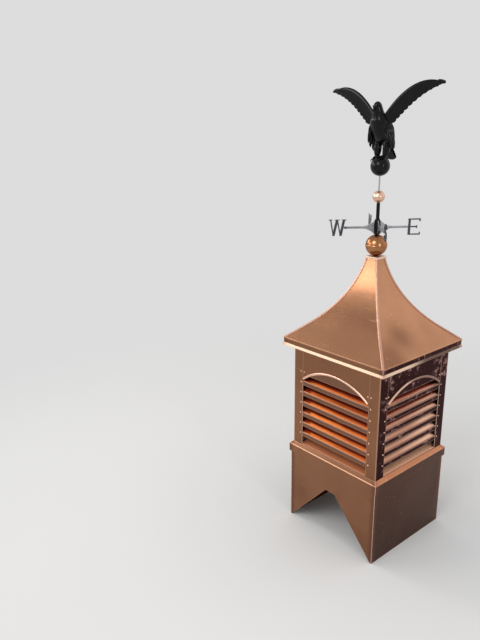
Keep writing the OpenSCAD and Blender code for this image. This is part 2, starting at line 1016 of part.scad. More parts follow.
front_skirt();
back_skirt();
left_skirt();
right_skirt();
base_collar();
front_left_post();
front_right_post();
back_right_post();
back_left_post();
front_arch_panel();
right_arch_panel();
back_arch_panel();
left_arch_panel();
front_louvers();
right_louvers();
back_louvers();
left_louvers();
arch_beads();
louver_sills();
eave_soffit();
eave_fascia();
front_roof();
right_roof();
back_roof();
left_roof();
hip_seams();
roof_cap();
large_ball();
compass_hub();
spacer_tube();
small_ball();
mast_rod();
north_arm();
east_arm();
south_arm();
west_arm();
vane_globe();
bird_body();
bird_left_leg();
bird_right_leg();
bird_tail();
bird_left_wing();
bird_right_wing();
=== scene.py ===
import bpy
import bmesh
import math
import numpy as np
from mathutils import Matrix, Vector, noise

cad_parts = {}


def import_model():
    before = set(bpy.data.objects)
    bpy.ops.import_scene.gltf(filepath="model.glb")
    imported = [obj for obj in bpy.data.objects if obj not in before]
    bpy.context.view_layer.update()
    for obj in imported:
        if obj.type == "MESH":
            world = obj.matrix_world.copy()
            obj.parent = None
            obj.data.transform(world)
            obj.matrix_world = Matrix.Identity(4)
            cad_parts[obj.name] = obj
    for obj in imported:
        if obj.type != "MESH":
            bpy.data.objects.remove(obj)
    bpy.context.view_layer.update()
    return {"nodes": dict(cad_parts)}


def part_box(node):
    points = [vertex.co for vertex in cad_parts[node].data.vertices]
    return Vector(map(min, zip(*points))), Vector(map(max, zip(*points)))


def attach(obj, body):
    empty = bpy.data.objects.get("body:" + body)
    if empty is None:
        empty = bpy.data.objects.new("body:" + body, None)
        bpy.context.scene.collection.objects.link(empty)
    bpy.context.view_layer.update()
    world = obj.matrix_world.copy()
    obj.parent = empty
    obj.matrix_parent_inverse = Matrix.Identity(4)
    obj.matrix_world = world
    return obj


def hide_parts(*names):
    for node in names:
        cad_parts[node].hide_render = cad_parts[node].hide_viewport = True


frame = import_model()
NODES = frame["nodes"]
MM = 0.001


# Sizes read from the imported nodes, in millimetres

def low(node):
    return np.array(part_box(node)[0]) / MM


def high(node):
    return np.array(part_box(node)[1]) / MM


SHEET = high("right_skirt")[0] - low("right_skirt")[0]
SKIRT_R, _, SKIRT_TOP = high("right_skirt")
BODY_R, _, SOFFIT_Z = high("front_right_post")
POST_IN, _, FOOT_Z = low("front_right_post")
COLLAR_R = high("base_collar")[0]
COLLAR_LOW = low("base_collar")[2]
DRIP_R = high("eave_fascia")[0]
DRIP_LOW = low("eave_fascia")[2]
ROOF_R, _, ROOF_TOP = high("right_roof")
EAVE_Z = low("right_roof")[2]
CAP_R, _, CAP_Z = high("roof_cap")
CAP_LOW = low("roof_cap")[2]
SPRING_Z = low("right_arch_panel")[2]
PANEL_R, PANEL_HALF, _ = high("right_arch_panel")

# Sizes that the boxes don't give
HEM = 1.9
COLLAR_LIP = 36
NOTCH_H = 226
NOTCH_TOP = 25
NOTCH_REACH = SKIRT_R - 6
NOTCH_ROUND = 9
FLANGE = 24
ARCH_RISE = 65
ARCH_R = (POST_IN ** 2 + ARCH_RISE ** 2) / (2 * ARCH_RISE)
ARCH_CENTRE_Z = SPRING_Z + ARCH_RISE - ARCH_R
BEAD_W = 12
BLADES = 7
BLADE_PITCH = 48.7
FIRST_BLADE = 61
BLADE_LIP = 19
BLADE_RUN = 38
BLADE_RISE = BLADE_RUN * math.tan(math.radians(42))
SILL_RISER = 5
SILL_RISE = BLADE_RUN * math.tan(math.radians(21))
TOP_LAP = 6
LAP = 14
EAVE_ANGLE = math.radians(40.5)
FLARE_RUN = 65
ROOF_TOP_R = 25
RIB_W = 7
RIB_T = 2.5
ROD_HOLE = 3.2
CAP_HOLE = 3.4


# Materials

class Shader:
    """A Principled material and short calls for the nodes that feed it."""

    SOCKETS = {"color": "Base Color", "rough": "Roughness", "metal": "Metallic", "normal": "Normal",
               "coat": "Coat Weight", "coat_rough": "Coat Roughness", "specular": "Specular IOR Level",
               "sheen": "Specular Tint"}

    def __init__(self, name):
        self.mat = bpy.data.materials.new(name)
        self.mat.use_nodes = True
        self.tree = self.mat.node_tree
        self.tree.nodes.clear()
        self.bsdf = self.node("BsdfPrincipled")
        self.out = self.node("OutputMaterial", [(0, self.bsdf.outputs[0])])
        self.coord = self.node("TexCoord").outputs["Object"]

    def put(self, value, socket):
        """Link an output to the socket, or write a constant on it."""
        if hasattr(value, "links"):
            self.tree.links.new(value, socket)
        else:
            socket.default_value = (*value, 1) if socket.type == "RGBA" else value

    def node(self, kind, inputs=(), **settings):
        """New node. inputs pairs the names or numbers of its sockets with what they get."""
        made = self.tree.nodes.new("ShaderNode" + kind)
        for key, value in settings.items():
            setattr(made, key, value)
        for key, value in inputs:
            self.put(value, made.inputs[key])
        return made

    def stretched(self, scale, turn=(0, 0, 0)):
        return self.node("Mapping", [("Vector", self.coord), ("Rotation", turn), ("Scale", scale)]).outputs[0]

    def noise(self, scale, detail=4, rough=0.55, vector=None, distortion=0.0):
        inputs = [("Vector", vector or self.coord), ("Scale", scale), ("Detail", detail),
                  ("Roughness", rough), ("Distortion", distortion)]
        return self.node("TexNoise", inputs).outputs[0]

    def mark(self, name):
        """A value stored on the mesh's points, 0 where the mesh has none."""
        return self.node("Attribute", attribute_name=name).outputs["Fac"]

    def ramp(self, value, start, end, top=1.0):
        """0 below start, top above end and smooth between them."""
        inputs = enumerate((value, start, end, 0.0, top))
        return self.node("MapRange", inputs, interpolation_type="SMOOTHSTEP").outputs[0]

    def math(self, operation, *values):
        return self.node("Math", enumerate(values), operation=operation).outputs[0]

    def frayed(self, value, amount, *texture):
        """The value plus a share of a noise."""
        return self.math("MULTIPLY_ADD", self.noise(*texture), amount, value)

    def length(self, vector):
        return self.node("VectorMath", [(0, vector)], operation="LENGTH").outputs["Value"]

    def mix(self, share, a, b):
        return self.node("Mix", [(0, share), (6, a), (7, b)], data_type="RGBA").outputs[2]

    def bump(self, height, distance, normal=None):
        below = [] if normal is None else [("Normal", normal)]
        return self.node("Bump", [("Distance", distance), ("Height", height), *below]).outputs[0]

    def set(self, **sockets):
        for key, value in sockets.items():
            self.put(value, self.bsdf.inputs[self.SOCKETS[key]])
        return self.mat


# Colours. MILL holds a light, a darker and a stained tone of one sheet.
SOLDER_GREY = (0.62, 0.49, 0.42)
# Tones of painted shade: a near black one, and a dark red one for the louver slopes.
PAINTED_SHADE_TONE = (0.032, 0.0085, 0.007)
SHADE_RED = (0.20, 0.02, 0.009)
SMUDGE = (0.48, 0.27, 0.25)
# Dimmer glancing sheen for every copper but the skirt's: painted shade, darker on the body than on the skirt
# of the same copper.
LOW_SHEEN = (0.78, 0.70, 0.72)
BACKDROP = (0.72, 0.72, 0.72)
MILL = ((0.305, 0.142, 0.076), (0.25, 0.116, 0.062), (0.17, 0.072, 0.044))


def copper(name, light, dark, stain, rough=0.30, grain=(1.2, 1.2, 60), shade_tone=PAINTED_SHADE_TONE, smudge=SMUDGE,
           wear_and_highlight=0.85, sheen=LOW_SHEEN):
    """Mill-finish copper sheet: clouds, rolling streaks, scratches, painted shade where the mesh gives it,
    and near its edges solder and wear that also paints a highlight along edges and folds.
    """
    s = Shader(name)
    near_edge, near_seam, painted_shade = s.mark("edge"), s.mark("seam"), s.mark("painted_shade")
    blotch = s.noise(7.0, 4, 0.55)
    streak = s.noise(2.0, 5, 0.6, s.stretched(grain))
    tone = s.mix(s.ramp(s.noise(2.6, 3, 0.5, distortion=0.5), 0.35, 0.66), light, dark)
    tone = s.mix(s.ramp(blotch, 0.56, 0.80, 0.35), tone, stain)
    tone = s.mix(s.ramp(streak, 0.45, 0.75, 0.16), tone, dark)
    tone = s.mix(s.ramp(s.noise(70, 3, 0.6), 0.67, 0.75, 0.3), tone, stain)
    # Painted shade, mixed in as far as the mesh's mark asks.
    tone = s.mix(painted_shade, tone, shade_tone)
    patches = s.ramp(s.noise(8, 3, 0.5), 0.42, 0.56)
    mottle = s.math("MULTIPLY", s.ramp(s.noise(34, 5, 0.72), 0.525, 0.63, 0.8), patches)
    # Mottled stains in their own tone, laid only where the painted shade is darkest.
    tone = s.mix(s.math("MULTIPLY", s.ramp(painted_shade, 0.8, 0.9), mottle), tone, smudge)
    flux = s.ramp(s.frayed(near_seam, 0.16, 38, 4, 0.65), 0.62, 0.98, 0.75)
    tone = s.mix(flux, tone, stain)
    tone = s.mix(s.ramp(s.frayed(near_seam, 0.10, 90, 3, 0.6), 1.01, 1.05), tone, SOLDER_GREY)
    # Wear, and a painted highlight: a lighter tone along the edges and folds.
    bare = tuple(min(top, 1.35 * c + 0.08) for c, top in zip(light, (0.95, 0.74, 0.62)))
    tone = s.mix(s.ramp(s.frayed(near_edge, 0.05, 60, 3, 0.6), 0.985, 1.02, wear_and_highlight), tone, bare)
    scratch = tuple(min(1.0, 1.45 * c) for c in light)
    for turn in ((0.4, 0.7, 0.3), (1.1, 0.2, 1.9)):
        lines = s.noise(60, 2, 0.4, s.stretched((0.05, 1.3, 1.0), turn))
        tone = s.mix(s.ramp(lines, 0.735, 0.755, 0.4), tone, scratch)
    r = s.math("MULTIPLY_ADD", blotch, 0.16, rough - 0.09)
    r = s.math("MULTIPLY_ADD", streak, 0.08, r)
    r = s.math("ADD", r, s.math("MULTIPLY", flux, 0.12))
    n = s.bump(s.noise(4.5, 2, 0.4), 0.003)
    n = s.bump(s.noise(30, 3, 0.5), 0.00025, n)
    n = s.bump(s.noise(900, 2, 0.5, s.stretched((1, 1, 0.02))), 0.00002, n)
    return s.set(color=tone, rough=r, metal=1.0, sheen=sheen, normal=n)


def black_gloss():
    """Black enamel over a casting: deep gloss, orange peel and a little dust."""
    s = Shader("gloss_black_paint")
    dust = s.noise(26, 5, 0.65)
    tone = s.mix(s.ramp(dust, 0.52, 0.72, 0.6), (0.003, 0.003, 0.0034), (0.007, 0.007, 0.008))
    tone = s.mix(s.ramp(s.noise(240, 3, 0.6), 0.70, 0.76, 0.25), tone, (0.03, 0.03, 0.032))
    r = s.math("MULTIPLY_ADD", dust, 0.08, 0.03)
    n = s.bump(s.noise(170, 3, 0.5), 0.00008)
    return s.set(color=tone, rough=r, metal=0.0, specular=0.15, coat=0.08, coat_rough=0.03, normal=n)


def cast_aluminium(name, bar, letter):
    """Grainy grey casting, in one tone along the bars and another on the letters at their ends."""
    s = Shader(name)
    cloud = s.noise(45, 5, 0.6)
    tone = s.mix(s.ramp(s.length(s.stretched((1, 1, 0))), 0.119, 0.124), bar, letter)
    tone = s.mix(s.ramp(cloud, 0.35, 0.65, 0.4), tone, (0.05, 0.05, 0.06))
    tone = s.mix(s.ramp(s.noise(300, 3, 0.6), 0.6, 0.72, 0.5), tone, (0.08, 0.08, 0.09))
    r = s.math("MULTIPLY_ADD", cloud, 0.2, 0.28)
    return s.set(color=tone, rough=r, metal=1.0, normal=s.bump(s.noise(420, 4, 0.6), 0.00018))


def rod_steel():
    s = Shader("rod_steel")
    rings = s.noise(40, 4, 0.6, s.stretched((1, 1, 12)))
    tone = s.mix(rings, (0.50, 0.50, 0.51), (0.30, 0.30, 0.31))
    r = s.math("MULTIPLY_ADD", rings, 0.2, 0.22)
    return s.set(color=tone, rough=r, metal=1.0, normal=s.bump(rings, 0.0001))


def solder():
    """Wiped tin solder with copper-tinted smears."""
    s = Shader("solder")
    cloud = s.noise(70, 4, 0.6)
    tone = s.mix(s.ramp(cloud, 0.4, 0.6), SOLDER_GREY, (0.60, 0.40, 0.30))
    r = s.math("MULTIPLY_ADD", cloud, 0.25, 0.2)
    return s.set(color=tone, rough=r, metal=1.0, normal=s.bump(s.noise(260, 4, 0.6), 0.0004))


COPPER = copper("mill_copper", *MILL)
# The skirt's copy keeps a full glancing sheen, so the body's copies are darker as painted shade.
SKIRT_COPPER = copper("skirt_copper", *MILL, sheen=(1.0, 1.0, 1.0))
# The roof's copy of the copper is much lighter than the mill copper of the upright sheets: painted light, for
# the brighter light that the roof mirrors.
ROOF_COPPER = copper("roof_copper", (0.56, 0.275, 0.152), (0.46, 0.222, 0.122), (0.33, 0.15, 0.088),
                     rough=0.23, shade_tone=(0.23, 0.105, 0.06), smudge=(0.50, 0.26, 0.16), wear_and_highlight=0.3)
# Copies of the copper for the blades, whose tones paint light and shade: bright orange on the slopes of the
# notched sides, a painted glow of light bounced among the blades; pale tan on the slopes of the plain sides,
# a painted reflection of bright surroundings; dark red on their inner faces, painted shade reddened by
# bounced light.
SLOPE_COPPER = copper("louver_slope_copper", (0.84, 0.235, 0.05), (0.70, 0.175, 0.038), (0.48, 0.10, 0.03),
                      rough=0.42, shade_tone=SHADE_RED, smudge=SHADE_RED, wear_and_highlight=0.3)
SIDE_SLOPE_COPPER = copper("pale_slope_copper", (0.86, 0.54, 0.38), (0.74, 0.43, 0.29), (0.50, 0.23, 0.14),
                           rough=0.32, shade_tone=SHADE_RED, smudge=(0.30, 0.04, 0.02), wear_and_highlight=0.4)
INNER_COPPER = copper("inner_copper", (0.42, 0.07, 0.028), (0.28, 0.045, 0.018), (0.12, 0.02, 0.01),
                      rough=0.42, wear_and_highlight=0.2)
LIP_COPPER = copper("louver_copper", (0.245, 0.12, 0.075), (0.20, 0.097, 0.062), (0.14, 0.06, 0.042))
# Pale, rough copy of the copper for the sill slopes and the collar's fold and slope: painted light where the
# blade above would shade a sill, and a painted highlight on the collar; its darker orange tone is painted
# shade.
SILL_COPPER = copper("sill_copper", (0.95, 0.63, 0.43), (0.88, 0.54, 0.35), (0.60, 0.30, 0.18), rough=0.72,
                     shade_tone=(0.60, 0.19, 0.06), smudge=(0.60, 0.19, 0.06), wear_and_highlight=0.1)
# Pale copy of the copper for the flared drip edge and the cap: a painted highlight.
DRIP_COPPER = copper("drip_copper", (0.95, 0.74, 0.55), (0.92, 0.65, 0.47), (0.70, 0.42, 0.30), rough=0.32,
                     shade_tone=(0.09, 0.045, 0.04), smudge=(0.3, 0.2, 0.17))
BALL_COPPER = copper("spun_copper", (0.50, 0.24, 0.11), (0.36, 0.155, 0.07), (0.22, 0.08, 0.045), rough=0.19,
                     grain=(1, 1, 160))
# Pale copy of the copper: a painted highlight on the arch beads and the posts' hems; the rivets, hip caps and
# small ball take it too.
PALE_COPPER = copper("pale_copper", (0.90, 0.62, 0.48), (0.80, 0.51, 0.38), (0.50, 0.26, 0.18), rough=0.27,
                     grain=(1, 1, 200), shade_tone=(0.20, 0.11, 0.09), smudge=(0.6, 0.4, 0.34))
BLACK = black_gloss()
CAST = cast_aluminium("cast_aluminium", (0.40, 0.405, 0.42), (0.075, 0.075, 0.09))
# Paler metal for the rounded edges of the arms: dressed metal, and a painted highlight along the edges.
DRESSED_AND_LIT = cast_aluminium("dressed_and_lit_aluminium", (0.78, 0.79, 0.81), (0.50, 0.51, 0.55))
STEEL = rod_steel()
SOLDER = solder()


# Mesh code

def show(name, bm, mesh, mats, node, body, slot, sharp):
    """Fill the mesh from bm and show it in the node's place."""
    bm.to_mesh(mesh)
    bm.free()
    mesh.shade_smooth()
    mesh.set_sharp_from_angle(angle=math.radians(sharp))
    for mat in mats:
        mesh.materials.append(mat)
    obj = bpy.data.objects.new(name, mesh)
    bpy.context.scene.collection.objects.link(obj)
    if node:
        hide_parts(node)
    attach(obj, body)


class Shape:
    """A mesh put together from parts, with how near each point is to an edge and to a soldered seam."""

    def __init__(self, lift=0.0):
        """lift raises every part that is added."""
        self.lift = lift
        self.verts, self.faces, self.kinds = [], [], []
        self.edge, self.seam = [], []

    def add(self, verts, faces, edge=0.0, seam=0.0, turn=0):
        """edge and seam give each point's value, or one for all. turn counts quarter turns about the mast."""
        start = len(self.verts)
        c, s = ((1, 0), (0, 1), (-1, 0), (0, -1))[turn]
        self.verts += [(x * c - y * s, x * s + y * c, z + self.lift) for x, y, z in verts]
        self.faces += [[start + i for i in face] for face in faces]
        self.kinds += [0] * len(faces)
        for values, given in ((self.edge, edge), (self.seam, seam)):
            values += given if isinstance(given, list) else [given] * len(verts)
        return self

    def paint(self, flags):
        """Give the second material to the faces whose points are all flagged."""
        self.kinds = [int(all(flags[i] for i in face)) for face in self.faces]

    def piece(self, name, mats, node=None, slot="copper", body="cupola", sharp=38, painted_shades=None):
        """A list may give the painted shade on each point of the sheet."""
        mesh = bpy.data.meshes.new(name)
        mesh.from_pydata([(x * MM, y * MM, z * MM) for x, y, z in self.verts], [], self.faces)
        mesh.polygons.foreach_set("material_index", self.kinds)
        marks = {"edge": self.edge, "seam": self.seam, "painted_shade": painted_shades or [0.0] * len(self.verts)}
        for key, values in marks.items():
            mesh.attributes.new(key, "FLOAT", "POINT").data.foreach_set("value", values)
        bm = bmesh.new()
        bm.from_mesh(mesh)
        bmesh.ops.recalc_face_normals(bm, faces=bm.faces)
        show(name, bm, mesh, mats, node, body, slot, sharp)

    def casting(self, name, node, sharp=60):
        """Black piece of the vane."""
        self.piece(name, [BLACK], node, "black_paint", "vane", sharp)


def smooth(t):
    t = min(1.0, max(0.0, t))
    return t * t * (3 - 2 * t)


def side_shade(x, y, z):
    """Painted shade on the upright sheets of the plain sides, for their darker reflections: deeper towards
    the foot of the skirt, and over 0.8 only on the louvered body.
    """
    share = 0.72 + 0.07 * smooth((SKIRT_TOP - z) / 330) if z < FOOT_Z else 1.0
    return share * smooth((abs(x) - abs(y)) / 2)


def side_shades(shape):
    return [side_shade(*v) for v in shape.verts]


def near(gap, reach=60.0):
    """1 on an edge, falling to 0 at reach millimetres from it."""
    return max(0.0, 1 - gap / reach)


def ripple(p, size, seed=0.0):
    """Smooth unevenness from -1 to 1, with bumps about size apart."""
    return noise.noise(Vector((p[0] / size + seed, p[1] / size - seed, p[2] / size + 2 * seed)))


def around(count):
    """Angles of evenly spaced points on a circle."""
    return [2 * math.pi * k / count for k in range(count)]


def half_turn(steps):
    """Angles from straight down to straight up."""
    return [-math.pi / 2 + math.pi * i / steps for i in range(steps + 1)]


def unit(v):
    return v / np.linalg.norm(v)


def beside(points, i):
    """The points before and after point i, or point i itself at an end."""
    return points[max(i - 1, 0)], points[min(i + 1, len(points) - 1)]


def heading(points, i):
    """Direction of a line of points at point i."""
    before, after = beside(points, i)
    return unit(after - before)


def steepness(points, i):
    """Angle at which an outline of (radius, height) points rises inwards at point i."""
    before, after = beside(points, i)
    return math.atan2(after[1] - before[1], before[0] - after[0])


def quads(rows, n):
    """Faces between rings of n points each."""
    return [[j * n + k, j * n + (k + 1) % n, (j + 1) * n + (k + 1) % n, (j + 1) * n + k]
            for j in range(rows) for k in range(n)]


def skin(rings):
    """Closed surface through rings with the same number of points."""
    n, last = len(rings[0]), len(rings) - 1
    verts = [tuple(p) for ring in rings for p in ring]
    return verts, quads(last, n) + [list(range(n))[::-1], [last * n + k for k in range(n)]]


def spaced(length, pitch=18.0, ends=(1.5, 5.0, 12.0)):
    """Distances from 0 to length, close together near both ends."""
    close = [e for e in ends if e < length / 2 - 1]
    start = close[-1] if close else 0.0
    count = max(1, math.ceil((length - 2 * start) / pitch))
    middle = [start + (length - 2 * start) * i / count for i in range(count + 1)]
    if not close:
        return middle
    return [0.0, *close[:-1], *middle, *[length - e for e in reversed(close[:-1])], length]


def spans(half, pitch=16.0):
    """Places from -half to half, with their gaps to the ends."""
    return [(d - half, min(d, 2 * half - d)) for d in spaced(2 * half, pitch)]


def side_spans(r, pitch=20.0):
    """Places from -1 to 1 along a side of half width r, with their gaps to the corners in millimetres."""
    return [(y / r, gap) for y, gap in spans(r, pitch)]


def fold_line(path, radius=1.6, pitch=18.0):
    """Middle of a folded sheet, its folds rounded: points, normals to the left, gaps to a fold or end."""
    path = [np.array(p, float) for p in path]
    legs = [b - a for a, b in zip(path, path[1:])]
    points, creased = [path[0]], [True]
    start = path[0]
    for leg, onward, corner in zip(legs, legs[1:] + [None], path[1:]):
        way = unit(leg)
        trim = 0.0
        if onward is not None:
            turn = math.acos(min(1.0, max(-1.0, float(way @ unit(onward)))))
            room = 0.45 * min(np.linalg.norm(leg), np.linalg.norm(onward))
            trim = min(radius * math.tan(turn / 2), room) if turn > 0.15 else 0.0
        stop = corner - way * trim
        for d in spaced(np.linalg.norm(stop - start), pitch)[1:]:
            points.append(start + way * d)
            creased.append(False)
        start = stop
        if trim:
            creased[-1] = True
            start = corner + unit(onward) * trim
            for t in (0.25, 0.5, 0.75, 1.0):
                points.append((1 - t) ** 2 * stop + 2 * t * (1 - t) * corner + t * t * start)
                creased.append(True)
    creased[-1] = True
    points = np.array(points)
    ways = np.gradient(points, axis=0)
    ways /= np.linalg.norm(ways, axis=1)[:, None]
    run = np.concatenate([[0], np.cumsum(np.linalg.norm(np.diff(points, axis=0), axis=1))])
    marks = run[np.array(creased)]
    gaps = [float(np.abs(marks - d).min()) for d in run]
    return points, np.stack([-ways[:, 1], ways[:, 0]], 1), gaps


def folded(path, radius=1.6, pitch=18.0, side=1):
    """Fold line of a sheet that lies to the left of a path of outer faces, or to its right for side -1."""
    path = [np.array(p, float) for p in path]
    lefts = [np.array([-d[1], d[0]]) for d in (unit(b - a) for a, b in zip(path, path[1:]))]
    before, after = lefts[:1] + lefts, lefts + lefts[-1:]
    middle = [p + side * SHEET / 2 * (a + b) / (1 + a @ b) for p, a, b in zip(path, before, after)]
    return fold_line(middle, radius, pitch)


def swept(line, along, place, wave=0.3, size=130.0, closed=False, soldered=False):
    """A folded sheet swept along. along lists (value, gap to its end); place(a, b, value) gives the point."""
    points, normals, gaps = line
    rows = len(points)
    loop = [(i, SHEET / 2) for i in range(rows)] + [(i, -SHEET / 2) for i in range(rows - 1, -1, -1)]
    verts, edge, seam = [], [], []
    for value, end_gap in along:
        for i, side in loop:
            free = min(gaps[i], end_gap)
            lift = side + wave * smooth(free / 40) * ripple(place(*points[i], value), size, 3.7)
            verts.append(tuple(place(*(points[i] + normals[i] * lift), value)))
            edge.append(near(free))
            seam.append(near(end_gap) if soldered else 0.0)
    count = len(loop)
    faces = []
    for j in range(len(along) if closed else len(along) - 1):
        a, b = j * count, ((j + 1) % len(along)) * count
        faces += [[a + m, a + (m + 1) % count, b + (m + 1) % count, b + m] for m in range(count)]
    if not closed:
        for a in (0, (len(along) - 1) * count):
            faces += [[a + i, a + i + 1, a + count - 2 - i, a + count - 1 - i] for i in range(rows - 1)]
    return verts, faces, edge, seam


def on_ring(r, u, z, quarter=0):
    """Point on the side that faces +X, at u from -1 to 1 of its own half width, turned by quarters."""
    x, y = r, u * r
    for _ in range(quarter):
        x, y = -y, x
    return np.array((x, y, z))


def square_ring(path, radius=1.6, pitch=18.0, wave=0.3, side=1):
    """Sheet folded along a path of outer faces and carried round all four sides, welded at its mitres."""
    r = float(np.mean([p[0] for p in path]))
    along = [((q, u), gap) for q in range(4) for u, gap in side_spans(r)[:-1]]
    return swept(folded(path, radius, pitch, side), along, lambda a, b, v: on_ring(a, v[1], b, v[0]), wave,
                 closed=True, soldered=True)


def bead(points, radius, seed, rough, seam=1.0):
    """Uneven bead along a line of points."""
    points = [np.array(p, float) for p in points]
    rings = []
    for i, p in enumerate(points):
        way = heading(points, i)
        across = unit(np.cross(way, (0.3, 0.2, 1.0) if abs(way[2]) < 0.8 else (1.0, 0.2, 0.1)))
        other = np.cross(way, across)
        r = radius * (1 + rough * ripple(p, 9, seed)) * (0.25 if i in (0, len(points) - 1) else 1)
        rings.append([p + r * (math.cos(a) * across + math.sin(a) * other) for a in around(8)])
    return *skin(rings), 0.0, seam


def between(a, b, pitch=4.0):
    a, b = np.array(a, float), np.array(b, float)
    count = max(2, int(np.linalg.norm(b - a) / pitch))
    return [a + (b - a) * i / count for i in range(count + 1)]


def lathe(profile, z, segments=96):
    """Closed turned form from (radius, height) points, the first and last of them on or near the axis."""
    return skin([[(r * math.cos(a), r * math.sin(a), z + h) for a in around(segments)] for r, h in profile])


# Base skirt and collar

SIDES = ("right", "back", "left", "front")


def notch_edge(y):
    """Height of the notch's edge at y, with its two upper corners rounded."""
    y = abs(y)
    if y >= NOTCH_REACH:
        return 0.0
    slope = NOTCH_H / (NOTCH_REACH - NOTCH_TOP)
    turn = NOTCH_ROUND * math.tan(math.atan(slope) / 2)
    reach = (y - NOTCH_TOP) / turn
    if abs(reach) < 1:
        t = (reach + 1) / 2
        return NOTCH_H - t * t * turn * math.sin(math.atan(slope))
    return min(NOTCH_H, (NOTCH_REACH - y) * slope)


def walled(columns, rows, floor, top, r, wave, size, seed=0.0, corner=None):
    """Upright sheet facing +X between a lower edge floor(y) and the height top, its outer face at r."""
    verts, edge, seam = [], [], []
    for y, gap in columns:
        base = floor(y)
        for depth in (0, 1):
            for f in rows:
                z = base + (top - base) * f
                free = min(gap, top - z, z - base)
                out = wave * smooth(free / 40) * ripple((r, y, z), size, seed)
                verts.append((r - depth * SHEET + out, y, z))
                edge.append(near(free))
                seam.append(near(corner - abs(y)) if corner else 0.0)
    n = len(rows)
    faces = []
    for j in range(len(columns) - 1):
        a, b = 2 * n * j, 2 * n * (j + 1)
        for k in range(n - 1):
            faces.append([a + k, b + k, b + k + 1, a + k + 1])
            faces.append([a + n + k, a + n + k + 1, b + n + k + 1, b + n + k])
        faces.append([a, a + n, b + n, b])
        faces.append([a + n - 1, b + n - 1, b + 2 * n - 1, a + 2 * n - 1])
    for a in (0, 2 * n * (len(columns) - 1)):
        faces += [[a + k, a + k + 1, a + n + k + 1, a + n + k] for k in range(n - 1)]
    return verts, faces, edge, seam


def columns_at(ys, half):
    """Places across a sheet, each once and in order, with their gaps to its ends."""
    return [(y, half - abs(y)) for y in sorted(set(round(y, 3) for y in ys))]


def skirts():
    """Four panels of the base, the front and the back one notched for the ridge."""
    rows = [d / SKIRT_TOP for d in spaced(SKIRT_TOP)]
    for side, name in enumerate(SIDES):
        notched = name in ("front", "back")
        half = SKIRT_R if notched else SKIRT_R - SHEET
        ys = [y for y, _ in spans(half, 14.0)]
        if notched:
            ys += [s * (NOTCH_TOP + NOTCH_ROUND * d / 4) for s in (-1, 1) for d in range(-4, 5)]
            ys += [-NOTCH_REACH, NOTCH_REACH]
        floor = notch_edge if notched else lambda y: 0.0
        sheet = walled(columns_at(ys, half), rows, floor, SKIRT_TOP, SKIRT_R, 0.9, 150, 1.3 * side, SKIRT_R)
        shape = Shape().add(*sheet, turn=side)
        # The plain sides get painted shade.
        shape.piece(name + "_skirt_sheet", [SKIRT_COPPER], name + "_skirt", painted_shades=side_shades(shape))


def notch_hems():
    """Folded hems inside the edge of each notch, crinkled by hand, and along the feet of the plain sides."""
    shape = Shape()
    ys = [-NOTCH_REACH + i * NOTCH_REACH / 60 for i in range(121)] + [-NOTCH_TOP, NOTCH_TOP]
    for side in (1, 3):
        points = [(SKIRT_R - 1.5 - 0.25 * ripple((y, 0, 0), 5, 4.0), y,
                   notch_edge(y) + 0.9 + 0.4 * ripple((0, y, 0), 7, 2.0)) for y in sorted(set(ys))]
        shape.add(*bead(points, 1.5, side, 0.5, seam=0.0), turn=side)
    for side in (0, 2):
        r, end = SKIRT_R - 1.6, SKIRT_R - 4
        shape.add(*bead(between((r, -end, HEM), (r, end, HEM), 9), 1.4, side, 0.2, seam=0.0), turn=side)
    shape.piece("skirt_hems", [SKIRT_COPPER])


def collar():
    """Sloped water collar with a hanging lip; its slope and the corners of its lip are paler, a painted
    highlight.
    """
    drop = FOOT_Z + SHEET
    slope_low = COLLAR_LOW + COLLAR_LIP
    path = [(COLLAR_R - HEM, COLLAR_LOW + 9), (COLLAR_R - HEM, COLLAR_LOW), (COLLAR_R, COLLAR_LOW),
            (COLLAR_R, slope_low + 1.1), (BODY_R + 0.4, drop), (BODY_R - FLANGE, drop)]
    verts, faces, edge, seam = square_ring(path, 2.4, wave=0.45)
    # Neither wear nor painted highlight along the lower part of the lip.
    edge = [0.0 if z < COLLAR_LOW + 12 else e for (x, y, z), e in zip(verts, edge)]
    slope = [z > slope_low - 1.5 and (max(abs(x), abs(y)) > COLLAR_R - 2.2 or abs(x) > abs(y) - 0.1)
             for x, y, z in verts]
    shape = Shape().add(verts, faces, edge, seam)
    shape.paint(slope)
    # Painted shade: orange on the pale faces of the plain sides, and the side's shade on the rest.
    painted_shades = [0.6 if pale and abs(v[0]) > abs(v[1]) else side_shade(*v) for v, pale in zip(verts, slope)]
    shape.piece("collar_sheet", [SKIRT_COPPER, SILL_COPPER], "base_collar", painted_shades=painted_shades)
    return path


# Louvered body

def posts():
    """Corner posts: an angle with a hem folded back along both of its edges."""
    inner, back = POST_IN, 8
    path = [(inner + back, HEM - BODY_R), (inner, HEM - BODY_R), (inner, -BODY_R), (BODY_R, -BODY_R),
            (BODY_R, -inner), (BODY_R - HEM, -inner), (BODY_R - HEM, -inner - back)]
    height = SOFFIT_Z - FOOT_Z
    along = [(FOOT_Z + d, min(d, height - d)) for d in spaced(height, 16.0)]
    post = swept(folded(path, 2.0, 9.0), along, lambda a, b, z: np.array((a, b, z)), 0.25, 90.0)
    hemmed = [min(abs(x - inner), abs(y + inner)) < 0.75 and z < SPRING_Z + 5 for x, y, z in post[0]]
    for turn, name in enumerate(("front_right", "back_right", "back_left", "front_left")):
        shape = Shape().add(*post, turn=turn)
        shape.paint(hemmed)
        # The hems take the pale copy, a painted highlight, and no painted shade; the rest takes its side's
        # painted shade.
        painted_shades = [0.0 if pale else side_shade(*v) for v, pale in zip(shape.verts, hemmed)]
        shape.piece(name + "_post_sheet", [COPPER, PALE_COPPER], name + "_post", painted_shades=painted_shades)


def arch_floor(y):
    """Lower edge of an arch panel at y."""
    return SPRING_Z if abs(y) >= POST_IN else ARCH_CENTRE_Z + math.sqrt(ARCH_R * ARCH_R - y * y)


